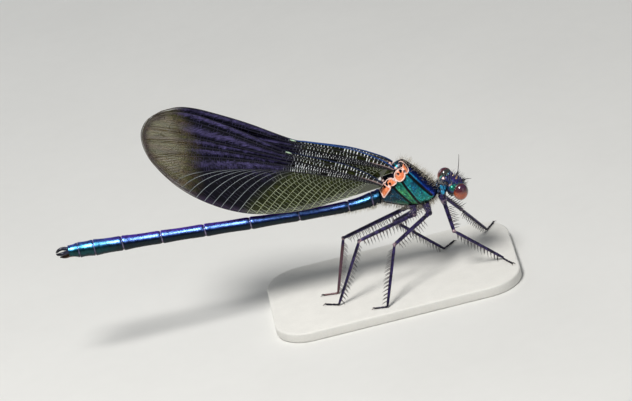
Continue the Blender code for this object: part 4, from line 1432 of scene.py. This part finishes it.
    def membrane(self, pair: WingPair, side: Side) -> bpy.types.Object:
        """Builds the pleated membrane as one fine sheet."""
        shares = []
        for low, high in zip(self.pleat_knots, self.pleat_knots[1:]):
            count = 4 if high < 0.16 else 6 if high < 0.5 else 60
            shares += list(np.linspace(low, high, count, endpoint=False))
        shares.append(1.0)
        steps = np.linspace(0, 1, self.columns)
        flat = np.vstack([self.rail(share, steps) for share in shares])
        level = np.concatenate([self.fold(share, steps) for share in shares])
        faces = []
        for i in range(len(shares) - 1):
            for j in range(self.columns - 1):
                a = i * self.columns + j
                b = a + self.columns
                faces.append((a, a + 1, b + 1, b) if side is Side.LEFT else (a, b, b + 1, a + 1))
        made = mesh_piece(f"{pair.name}_{side.word}_membrane", self.placed(pair, side, flat, level), faces)
        size = self.pleat * (1 - 0.75 * np.tile(steps, len(shares)) ** 2)
        tone, stop = self.membrane_look(flat, level / size)
        paint(made, tone)
        cover(made, stop)
        return made

    def veins(self, pair: WingPair, side: Side) -> bpy.types.Object:
        """Builds the long veins, the rim and the pale spot at the nodus."""
        strands = Strands(5)
        square = np.array([0.0, 1.0, 0.0])
        thickness = {VeinKind.EDGE: (0.080, 0.045), VeinKind.TRUNK: (0.072, 0.034),
                     VeinKind.FORK: (0.030, 0.011), VeinKind.COMB: (0.018, 0.036)}
        for vein in self.fan + self.comb:
            first = int(vein.start * (self.fineness - 1))
            chosen = np.unique(np.linspace(first, self.fineness - 1,
                                           max(8, int(80 * (1 - vein.start)))).astype(int))
            flat, steps = vein.flat[chosen], np.linspace(vein.start, 1, len(chosen))
            thick, thin = thickness[vein.kind]
            radii = thick + (thin - thick) * steps
            line = self.placed(pair, side, flat, vein.level[chosen])
            strands.add(line, radii, self.vein_tone(flat, vein, pair.edge), square)
        rim = through((*self.margin, self.foot), 126)
        line = self.placed(pair, side, rim, np.zeros(len(rim)))
        border = Vein(VeinKind.FORK, rim, np.zeros(len(rim)), 1.0)
        tone = blend(self.vein_tone(rim, border, pair.edge), (0.16, 0.17, 0.14),
                     ease(14.5, 11.5, rim[:, 0]))
        strands.add(line, np.full(len(rim), 0.036), tone, square)
        place = int(pair.nodus * (self.fineness - 1))
        nodus = self.fan[1].flat[place]
        spot = np.vstack([nodus + np.array([-0.36, -0.04]), nodus, nodus + np.array([0.36, 0.05])])
        line = self.placed(pair, side, spot, np.zeros(3) + side.value * 0.05)
        strands.add(line, [0.05, 0.10, 0.05], np.array((0.46, 0.62, 0.44)), square)
        return strands.build(f"{pair.name}_{side.word}_veins")

    def ladders(self, veins: list[Vein]) -> Iterator[tuple[Vein, Vein, float, float]]:
        """Neighbouring veins, with the shares of their length between which no other vein parts them."""
        for order, first in enumerate(veins):
            for skip, second in enumerate(veins[order + 1:]):
                begin = max(first.start, second.start)
                stop = min([vein.start for vein in veins[order + 1:order + 1 + skip]], default=1.0)
                if stop > begin:
                    yield first, second, begin, stop

    def rungs(self, pair: WingPair, side: Side) -> bpy.types.Object:
        """Builds the cross-veins, each from one long vein to the next."""
        draw = np.random.default_rng(SEED + 11 + side.value + (5 if pair.name == "hindwing" else 0))
        strands = Strands(4)
        square = np.array([0.0, 1.0, 0.0])
        pairs = chain(self.ladders(self.fan), self.ladders(self.comb))
        steps = np.linspace(0, 1, self.fineness)
        for first, second, begin, stop in pairs:
            comb = first.kind is VeinKind.COMB
            close = first.share >= self.trunks[3] and second.share <= self.trunks[5]
            spacing = self.comb_step if comb else self.close_step if close else self.rung_step
            run = np.concatenate([[0], np.cumsum(np.linalg.norm(np.diff(first.flat, axis=0), axis=1))])
            low, high = np.interp((begin, stop), steps, run)
            for place in np.arange(low + 0.5, high - 0.1, spacing):
                at = int(np.searchsorted(run, place + draw.uniform(-0.12, 0.12) * spacing))
                at = min(at, len(run) - 1)
                a = first.flat[at]
                apart = np.linalg.norm(second.flat - a, axis=1)
                b, width = second.flat[apart.argmin()], float(apart.min())
                dark, tip, _ = self.zones(a[None])
                if not 0.12 < width < 1.3 or draw.random() < max(0.45 * dark[0], 0.94 * tip[0]):
                    continue
                wide, narrow, fine = self.rung_radii
                thick = fine if comb or dark[0] > 0.5 else wide if width > 0.3 else narrow
                # random strength of the painted glint
                tone = self.rung_tone(np.array([(a + b) / 2]), draw.uniform(0.45, 1.25))
                if comb:
                    tone = tone * (0.50, 0.52, 0.38)
                levels = np.array([first.level[at], second.level[apart.argmin()]])
                line = self.placed(pair, side, np.vstack([a, b]), levels)
                line[:, 1] += side.value * 0.012
                strands.add(line, np.array([thick, thick]), tone, square)
        return strands.build(f"{pair.name}_{side.word}_cross_veins")

    def build(self, pair: WingPair, side: Side, fit: BodyFit, wardrobe: Wardrobe) -> None:
        """Builds one wing in its place."""
        membrane = self.membrane(pair, side)
        fit.settle(membrane, wardrobe.membrane, [f"{pair.name}_{side.word}"], sharp=180)
        for piece in (self.veins(pair, side), self.rungs(pair, side)):
            fit.settle(piece, wardrobe.vein, sharp=80)


@dataclass(frozen=True)
class HingePlate:
    """One leathery plate of a wing hinge, by its outline on the side of the thorax, as X and Z."""

    outline: tuple[tuple[float, float], ...]
    swell: float = 0.16
    rim: float = 0.075

    def border(self) -> Points:
        """The outline as a smooth closed line of X and Z."""
        return through((*self.outline, self.outline[0]), 61)[:-1]

    def forms(self, thorax: Thorax, side: Side) -> list[bpy.types.Object]:
        """Builds the domed plate and the raised cord round it."""
        border = self.border()
        middle = border.mean(0)
        rings = []
        for share, out in ((0.3, -0.30), (0.85, -0.30), (0.98, -0.12), (1.0, 0.0), (0.94, 0.4), (0.8, 0.75),
                           (0.55, 0.95), (0.25, 1.0)):
            flat = middle + (border - middle) * share
            out = out if out < 0 else out * self.swell + 0.04
            across = thorax.half_width_at(flat[:, 0], flat[:, 1]) + out
            rings.append(np.column_stack([flat[:, 0], side.value * across, flat[:, 1]]))
        cord = np.vstack([border, border[:2]])
        across = thorax.half_width_at(cord[:, 0], cord[:, 1]) + 0.09
        line = np.column_stack([cord[:, 0], side.value * across, cord[:, 1]])
        return [loft("plate", np.array(rings)), rod(line, [self.rim] * len(line), fineness=3)]


@dataclass(frozen=True)
class WingRoot:
    """The orange plates of a wing's hinge, with pale rims, dark pits and the knobs of the veins."""

    pair: str
    plates: tuple[HingePlate, ...]
    knobs: tuple[tuple[float, float], ...]
    pits: tuple[tuple[float, float], ...]
    knob_radius: float = 0.19
    pit_radius: float = 0.20

    def build(self, side: Side, thorax: Thorax, fit: BodyFit, wardrobe: Wardrobe) -> None:
        """Builds the plates on one side.

        Args:
            side: which side.
            thorax: the form they lie on.
            fit: where it goes.
            wardrobe: the finishes.
        """
        parts = [form for plate in self.plates for form in plate.forms(thorax, side)]
        for x, z in self.knobs:
            across = float(thorax.half_width_at(np.array([x]), np.array([z]))[0]) + 0.10
            parts.append(lump((x, side.value * across, z), (self.knob_radius, 0.20, self.knob_radius * 0.85)))
        skin = fuse(f"{self.pair}_root_{side.word}_plates", parts, 0.028, easing=2)
        places = corners_of(skin)
        flat = places[:, [0, 2]]
        grain = speckle(places, 0.22)
        rim = np.full(len(places), 9.0)
        for plate in self.plates:
            rim = np.minimum(rim, nearest(flat, plate.border()))
        pit, knob = (nearest(flat, spots) for spots in (self.pits, self.knobs))
        sunk = ease(self.pit_radius, self.pit_radius * 0.4, pit + grain * 0.05)
        places[:, 1] -= side.value * sunk * 0.09
        move_corners(skin, places)
        paint(skin, layered(
            (0.78, 0.17, 0.050),
            ((0.86, 0.30, 0.13), ease(-0.3, 0.4, grain)),
            ((0.90, 0.62, 0.55), ease(0.13, 0.05, rim + grain * 0.02)),
            ((0.80, 0.60, 0.58), ease(self.knob_radius * 1.1, self.knob_radius * 0.7, knob)),
            ((0.055, 0.006, 0.006), sunk * 0.96)))
        fit.settle(skin, wardrobe.root, [f"{self.pair}_root_{side.word}"])


# ---- legs


@dataclass(frozen=True)
class Leg:
    """One leg: where its joints lie and which way its bristles point."""

    name: str
    top: tuple[float, float, float]
    hip: tuple[float, float, float]
    knee: tuple[float, float, float]
    ankle: tuple[float, float]
    claws: tuple[float, float]
    femur_side: tuple[float, float, float]
    tibia_side: tuple[float, float, float]
    sole: float = -9.56
    foot_radius: float = 0.11
    femur_radius: float = 0.245
    tibia_radius: float = 0.19
    bristle_radius: float = 0.046
    bristle_spread: float = 0.42

    @property
    def joints(self) -> tuple[Points, Points, Points, Points, Points]:
        """Top of the coxa, hip, knee, ankle and toe."""
        low = self.sole + self.foot_radius
        return (np.array(self.top), np.array(self.hip), np.array(self.knee),
                np.array([*self.ankle, low + 0.14]), np.array([*self.claws, low]))

    def skin(self) -> bpy.types.Object:
        """Builds the leg from coxa to toe as one skin."""
        top, hip, knee, ankle, toe = self.joints
        shin = ankle - knee
        thigh = knee - hip
        parts = [
            rod(through([top, top + (hip - top) * 0.5, hip], 8), np.linspace(0.50, 0.33, 8), fineness=6),
            lump(hip, (0.34, 0.34, 0.34)),
            rod([hip, hip + thigh * 0.10], [0.25, 0.27], fineness=6),
            lump(hip + thigh * 0.075, (0.27, 0.27, 0.27)),
            rod([hip + thigh * share for share in (0.09, 0.14, 0.5, 0.93, 0.985)],
                [0.17, self.femur_radius, self.femur_radius * 0.96, self.femur_radius * 0.86, 0.17],
                fineness=6),
            lump(knee, (0.235, 0.235, 0.235)),
            rod([knee + shin * share for share in (0.0, 0.05, 0.12, 0.5, 0.93, 1.0)],
                [0.15, 0.16, self.tibia_radius, self.tibia_radius * 0.95, self.tibia_radius * 0.85, 0.12],
                fineness=6),
            lump(ankle, (0.145, 0.145, 0.145)),
        ]
        heel = ankle + np.array([0, 0, -0.12])
        for start, end in ((0.0, 0.22), (0.24, 0.52), (0.54, 1.0)):
            a, b = heel + (toe - heel) * start, heel + (toe - heel) * end
            parts.append(rod([a, a + (b - a) * 0.3, a + (b - a) * 0.85, b],
                             [0.075, 0.10, 0.115, 0.085], fineness=5))
        parts.append(rod([heel, toe], [0.07, 0.07], fineness=4))
        return fuse(f"{self.name}_skin", parts, 0.036, easing=3)

    def tones(self, places: Points) -> Points:
        """Black-violet mottled with lighter violet, pale pink at the joints."""
        top, hip, knee, _, _ = self.joints
        grain = speckle(places, 0.4)
        tone = layered((0.010, 0.006, 0.032), ((0.040, 0.026, 0.120), ease(-0.4, 0.5, grain)),
                       ((0.005, 0.004, 0.007), ease(0.9, 0.0, places[:, 2] - self.sole) * 0.8))
        for joint, size in ((hip, 0.42), (knee, 0.34)):
            gap = np.linalg.norm(places - joint, axis=1)
            tone = blend(tone, (0.48, 0.34, 0.36), ease(size, size * 0.6, gap) * ease(-0.25, 0.25, grain) * 0.8)
        gap = np.linalg.norm(places - (hip + (knee - hip) * 0.11), axis=1)
        tone = blend(tone, (0.008, 0.006, 0.012), ease(0.30, 0.2, gap) * 0.7)
        if self.name == "hind_left":
            shade = ease(0.3, 1.2, np.linalg.norm(places - knee, axis=1)) * ease(-3.9, -4.6, places[:, 2])
            tone = blend(tone, (0.20, 0.10, 0.10), shade * 0.6)
        return blend(tone, (0.010, 0.008, 0.016), ease(0.45, 0.1, np.linalg.norm(places - top, axis=1)))

    def row(self, strands: Strands, start: Points, end: Points, side: Points, radius: float, lean: float,
            length: float, spacing: float, tones: tuple[Colour, Colour], draw: np.random.Generator) -> None:
        """Sets two rows of bristles along one limb.

        Args:
            strands: where they are gathered.
            start: the limb's upper end.
            end: its lower end.
            side: which way the rows face.
            radius: the limb's radius.
            lean: how far the bristles lean to the foot.
            length: their length.
            spacing: the distance between two in a row.
            tones: colour at the root, paler as a painted glint, and at the point.
            draw: the seeded draws.
        """
        along = end - start
        reach = np.linalg.norm(along)
        along /= reach
        outward = side - along * (along @ side)
        outward /= np.linalg.norm(outward)
        across = np.cross(along, outward)
        steps = np.linspace(0, 1, 5)
        for spread in (-self.bristle_spread, self.bristle_spread):
            place = 0.55 + (0.0 if spread < 0 else spacing / 2)
            while place < reach - 0.3:
                facing = outward * math.cos(spread) + across * math.sin(spread)
                aim = facing + along * (lean + draw.uniform(-0.06, 0.06)) + across * draw.uniform(-0.08, 0.08)
                aim /= np.linalg.norm(aim)
                size = length * draw.uniform(0.85, 1.1) * (0.75 + 0.25 * math.sin(math.pi * place / reach))
                root = start + along * place + facing * radius * 0.8
                line = root + np.outer(steps, aim) * size + np.outer(steps ** 2, along) * size * 0.16
                radii = self.bristle_radius * np.array([1.15, 0.95, 0.75, 0.5, 0.12])
                colours = blend(tones[0], tones[1], ease(0.0, 0.45, steps))
                patch = (0.5 + 0.4 * spread, place / reach * 0.99)
                strands.add(line, radii, colours, np.cross(aim, along), patch)
                place += spacing * draw.uniform(0.92, 1.08)

    def bristles(self) -> bpy.types.Object:
        """Builds the rows of bristles under the femur and along the tibia."""
        _, hip, knee, ankle, _ = self.joints
        draw = np.random.default_rng(SEED + sum(ord(letter) for letter in self.name))
        strands = Strands(4)
        # painted glints: the paler roots of these dark bristles stand in for light caught on them, strongly on
        # the femora and hind tibiae
        strong_glint_tones = ((0.30, 0.24, 0.24), (0.012, 0.009, 0.014))
        faint_glint_tones = ((0.16, 0.12, 0.14), (0.010, 0.008, 0.012))
        self.row(strands, hip + (knee - hip) * 0.08, knee, np.array(self.femur_side, float), self.femur_radius,
                 -0.08, 0.95, 0.40, strong_glint_tones, draw)
        self.row(strands, knee, ankle, np.array(self.tibia_side, float), self.tibia_radius, 0.55, 0.80, 0.46,
                 strong_glint_tones if self.name.startswith("hind") else faint_glint_tones, draw)
        return strands.build(f"{self.name}_bristles", mapped=True)

    def claw_pair(self) -> bpy.types.Object:
        """Builds the two hooked claws and the pad between them."""
        _, _, _, ankle, toe = self.joints
        along = toe - ankle
        along[2] = 0
        along /= np.linalg.norm(along)
        across = np.array([-along[1], along[0], 0])
        parts = [lump(toe + along * 0.03, (0.10, 0.10, 0.09))]
        for sign in (1, -1):
            knots = [toe, toe + along * 0.16 + across * sign * 0.10 + np.array([0, 0, 0.05]),
                     toe + along * 0.34 + across * sign * 0.17 + np.array([0, 0, 0.0]),
                     toe + along * 0.44 + across * sign * 0.19 + np.array([0, 0, -0.075])]
            path = through(knots, 10)
            parts.append(rod(path, np.linspace(0.065, 0.018, 10), fineness=4))
        claws = fuse(f"{self.name}_claws", parts, 0.02, easing=1)
        places = corners_of(claws)
        gap = np.linalg.norm(places - toe, axis=1)
        paint(claws, blend((0.014, 0.010, 0.016), (0.12, 0.05, 0.025), ease(0.25, 0.5, gap)))
        return claws

    def build(self, fit: BodyFit, wardrobe: Wardrobe) -> None:
        """Builds the leg with its bristles, claws and fine hairs."""
        skin = self.skin()
        paint(skin, self.tones(corners_of(skin)))
        bristles, claws = self.bristles(), self.claw_pair()
        top, hip, _, _, _ = self.joints
        pale = ((0.6, 0.56, 0.5), (0.45, 0.4, 0.38))

        def share(spots: Points, facing: Points) -> Points:
            """Thin everywhere, and thicker on the hip."""
            return 0.12 + ease(0.9, 0.2, np.linalg.norm(spots - (top + hip) / 2, axis=1)) * 3

        down = Pelt(f"{self.name}_down", 160, (0.10, 0.26), 0.010, pale, lean=(0, 0, -0.3),
                    seed=SEED + len(self.name)).grow(skin, share)
        nodes = [f"{self.name}_{part}" for part in ("coxa", "femur", "tibia", "tarsus")]
        fit.settle(skin, wardrobe.leg, nodes)
        fit.settle(bristles, wardrobe.bristle, sharp=80)
        fit.settle(claws, wardrobe.leg)
        fit.settle(down, wardrobe.hair, sharp=50)


# ---- plate and studio


@dataclass(frozen=True)
class Plate:
    """The flat display plate under the feet."""

    top = -9.57
    thickness: float = 1.2
    corner: float = 4.0
    edge: float = 0.22

    def build(self, wardrobe: Wardrobe) -> None:
        """Builds the plate over its solid, with round corners and softly rounded edges."""
        low, high = (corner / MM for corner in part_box("stand_base"))
        pick_nothing()
        bpy.ops.mesh.primitive_cube_add(size=1.0, location=(low + high) / 2)
        made = bpy.context.object
        made.name = "display_plate"
        made.scale = high - low
        bpy.ops.object.transform_apply(location=True, rotation=True, scale=True)
        bpy.ops.object.mode_set(mode="EDIT")
        bpy.ops.mesh.select_mode(type="EDGE")
        bpy.ops.mesh.select_all(action="DESELECT")
        bpy.ops.object.mode_set(mode="OBJECT")
        corners = made.data.vertices
        for line in made.data.edges:
            a, b = (corners[index].co for index in line.vertices)
            line.select = abs(a.z - b.z) > self.thickness / 2
        bpy.ops.object.mode_set(mode="EDIT")
        bpy.ops.mesh.bevel(offset=self.corner, segments=14, affect="EDGES")
        bpy.ops.object.mode_set(mode="OBJECT")
        apply_modifier(made, "BEVEL", width=self.edge, segments=4, limit_method="ANGLE",
                       angle_limit=math.radians(40))
        made.data.transform(Matrix.Scale(MM, 4))
        pick(made)
        bpy.ops.object.shade_smooth_by_angle(angle=math.radians(35))
        made.data.materials.clear()
        made.data.materials.append(wardrobe.plate)
        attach(made, ROOT_BODY)
        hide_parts("stand_base")


@dataclass(frozen=True)
class Softbox:
    """One soft studio light, aimed at the insect."""

    name: str
    place: tuple[float, float, float]
    size: float
    power: float
    colour: Colour = (1.0, 1.0, 1.0)

    def hang(self, target: Vector) -> None:
        """Hangs the light and turns it to the target."""
        lamp = bpy.data.lights.new(self.name, "AREA")
        lamp.shape = "SQUARE"
        lamp.size = self.size
        lamp.energy = self.power
        lamp.color = self.colour
        made = bpy.data.objects.new(self.name, lamp)
        bpy.context.scene.collection.objects.link(made)
        made.location = target + Vector(self.place)
        made.rotation_euler = (-Vector(self.place)).to_track_quat("-Z", "Y").to_euler()


class Studio:
    """Floor, light and camera."""

    exposure = -0.75
    target = Vector((0.0, 0.0, 0.010))
    boxes = (
        Softbox("key_light", (-0.05, -0.10, 0.24), 0.08, 1.15, (1.0, 0.98, 0.95)),
        Softbox("fill_light", (0.20, -0.24, 0.10), 0.20, 0.12, (0.95, 0.97, 1.0)),
        Softbox("back_light", (-0.16, 0.20, 0.14), 0.14, 0.20, (0.96, 0.98, 1.0)),
    )

    def floor(self) -> None:
        """Lays the plain pale floor."""
        pick_nothing()
        bpy.ops.mesh.primitive_plane_add(size=6.0, location=(0, 0, 0))
        made = bpy.context.object
        made.name = "studio_floor"
        made.data.materials.append(Finish("pale_floor", roughness=(0.7, 0.8), grain=2.0, relief=0.02,
                                          mottle=0.01, plain=(0.74, 0.74, 0.72)).build())

    def sky(self) -> None:
        """Gives the room its even light."""
        world = bpy.data.worlds.new("studio_room")
        world.use_nodes = True
        ground = world.node_tree.nodes["Background"]
        ground.inputs["Color"].default_value = (0.86, 0.90, 0.94, 1.0)
        ground.inputs["Strength"].default_value = 0.32
        bpy.context.scene.world = world

    def camera(self, fit: BodyFit) -> None:
        """Sets up the photograph's point of view with a long lens."""
        cos_t, sin_t = math.cos(CAMERA_TURN), math.sin(CAMERA_TURN)
        cos_e, sin_e = math.cos(CAMERA_RISE), math.sin(CAMERA_RISE)
        right = Vector((cos_t, -sin_t * sin_e, -sin_t * cos_e))
        upward = Vector((sin_t, cos_t * sin_e, cos_t * cos_e))
        back = right.cross(upward)
        centre = (fit.shift + right * PHOTO_CENTRE[0] + upward * PHOTO_CENTRE[1]) * MM
        width = PHOTO_SIZE[0] / PIXELS_PER_MM * MM
        lens = bpy.data.cameras.new("photo_camera")
        lens.sensor_width = SENSOR_WIDTH
        lens.lens = SENSOR_WIDTH * CAMERA_DISTANCE / width
        lens.clip_start, lens.clip_end = 0.01, 20.0
        made = bpy.data.objects.new("photo_camera", lens)
        bpy.context.scene.collection.objects.link(made)
        pose = Matrix((right, upward, back)).transposed().to_4x4()
        pose.translation = centre + back * CAMERA_DISTANCE
        made.matrix_world = pose
        bpy.context.scene.camera = made

    def build(self, fit: BodyFit) -> None:
        """Sets up floor, light and camera, and the tones of the picture."""
        bpy.context.scene.view_settings.view_transform = "Standard"
        bpy.context.scene.view_settings.exposure = self.exposure
        self.floor()
        self.sky()
        self.camera(fit)
        for box in self.boxes:
            box.hang(self.target)


class Demoiselle:
    """The whole insect, built piece by piece."""

    pairs = (
        WingPair("forewing", 0.20, 4.62, math.radians(22.2), size=1.0, root_y=0.95, plane_y=0.28, sink=0.0,
                 nodus=0.415, hinge=(0.35, 1.05, 4.12), edge=(0.012, 0.06, 0.24)),
        WingPair("hindwing", -1.55, 3.30, math.radians(26.6), size=0.97, root_y=1.30, plane_y=0.85, sink=0.22,
                 nodus=0.408, hinge=(-1.35, 1.25, 2.74), edge=(0.008, 0.016, 0.055)),
    )
    roots = (
        WingRoot("forewing", (
            HingePlate(((0.85, 4.72), (1.21, 4.73), (1.47, 4.42), (1.67, 3.97), (1.66, 3.69), (1.37, 3.58),
                        (1.23, 3.92), (1.08, 4.18), (0.78, 4.33), (0.67, 4.53)), swell=0.10, rim=0.07),
            HingePlate(((0.84, 4.16), (1.12, 3.94), (1.19, 3.54), (0.96, 3.18), (0.50, 2.99), (0.14, 3.11),
                        (-0.01, 3.46), (0.15, 3.85), (0.48, 4.11)))),
            ((-0.14, 3.95), (-0.14, 4.60), (0.34, 4.32)),
            ((0.81, 3.96), (0.45, 3.75), (1.23, 3.84), (1.01, 4.50))),
        WingRoot("hindwing", (
            HingePlate(((-0.96, 3.13), (-0.51, 3.36), (-0.11, 3.22), (0.05, 2.91), (-0.32, 2.67), (-0.70, 2.48),
                        (-1.00, 2.57), (-1.21, 2.81)), swell=0.12),
            HingePlate(((-1.56, 2.62), (-1.23, 2.91), (-0.93, 2.65), (-0.76, 2.36), (-1.11, 1.93),
                        (-1.50, 1.50), (-1.73, 1.28), (-1.82, 1.60), (-1.90, 2.07)))),
            ((-1.80, 2.76), (-1.34, 3.08), (-0.13, 3.26)),
            ((-1.06, 2.76), (-1.36, 2.49), (-0.67, 2.80), (-0.55, 2.49))),
    )
    legs = (
        Leg("front_right", (4.72, -0.50, -0.35), (4.78, -0.92, -1.05), (5.08, -2.20, -4.37), (9.79, -1.68),
            (10.60, -3.40), (1, 0, -0.4), (-0.4, 0, -1)),
        Leg("middle_right", (2.70, -0.95, -0.70), (2.86, -1.28, -1.85), (-1.86, -4.20, -3.26), (-4.28, -6.60),
            (-5.66, -6.20), (0.3, 0, -1), (-1, 0, -0.3)),
        Leg("hind_right", (1.25, -0.85, -0.50), (1.15, -1.15, -1.60), (-5.60, -2.55, -2.51), (-9.51, -3.08),
            (-10.90, -2.20), (0.3, 0, -1), (1, 0, -0.3)),
        Leg("front_left", (4.72, 0.50, -0.35), (4.78, 0.92, -1.05), (6.56, 2.60, -4.21), (9.00, 6.50),
            (10.00, 8.10), (1, 0, -0.4), (-0.4, 0, -1)),
        Leg("middle_left", (2.70, 0.95, -0.70), (2.86, 1.28, -1.85), (-1.14, 4.00, -4.32), (3.60, 4.40),
            (4.90, 5.70), (0.3, 0, -1), (-1, 0, -0.3)),
        Leg("hind_left", (0.95, 0.85, -0.50), (0.80, 1.15, -1.60), (-7.25, 2.20, -3.95), (-9.30, -0.10),
            (-10.90, 0.30), (0.3, 0, -1), (1, 0, -0.3)),
    )

    def build(self, fit: BodyFit, wardrobe: Wardrobe) -> None:
        """Builds every piece of the insect.

        Args:
            fit: where it goes.
            wardrobe: the finishes.
        """
        Abdomen().build(fit, wardrobe)
        thorax = Thorax()
        thorax.build(fit, wardrobe)
        Prothorax().build(fit, wardrobe)
        Head().build(fit, wardrobe)
        for leg in self.legs:
            leg.build(fit, wardrobe)
        wing = Wing()
        for side in Side:
            for root in self.roots:
                root.build(side, thorax, fit, wardrobe)
            for pair in self.pairs:
                wing.build(pair, side, fit, wardrobe)


def main() -> None:
    """Builds the studio, the plate and the insect."""
    logging.basicConfig(level=logging.INFO, format="%(name)s: %(message)s")
    fit = BodyFit.from_frame()
    wardrobe = Wardrobe()
    Studio().build(fit)
    Plate().build(wardrobe)
    Demoiselle().build(fit, wardrobe)


if __name__ == "__main__":
    main()
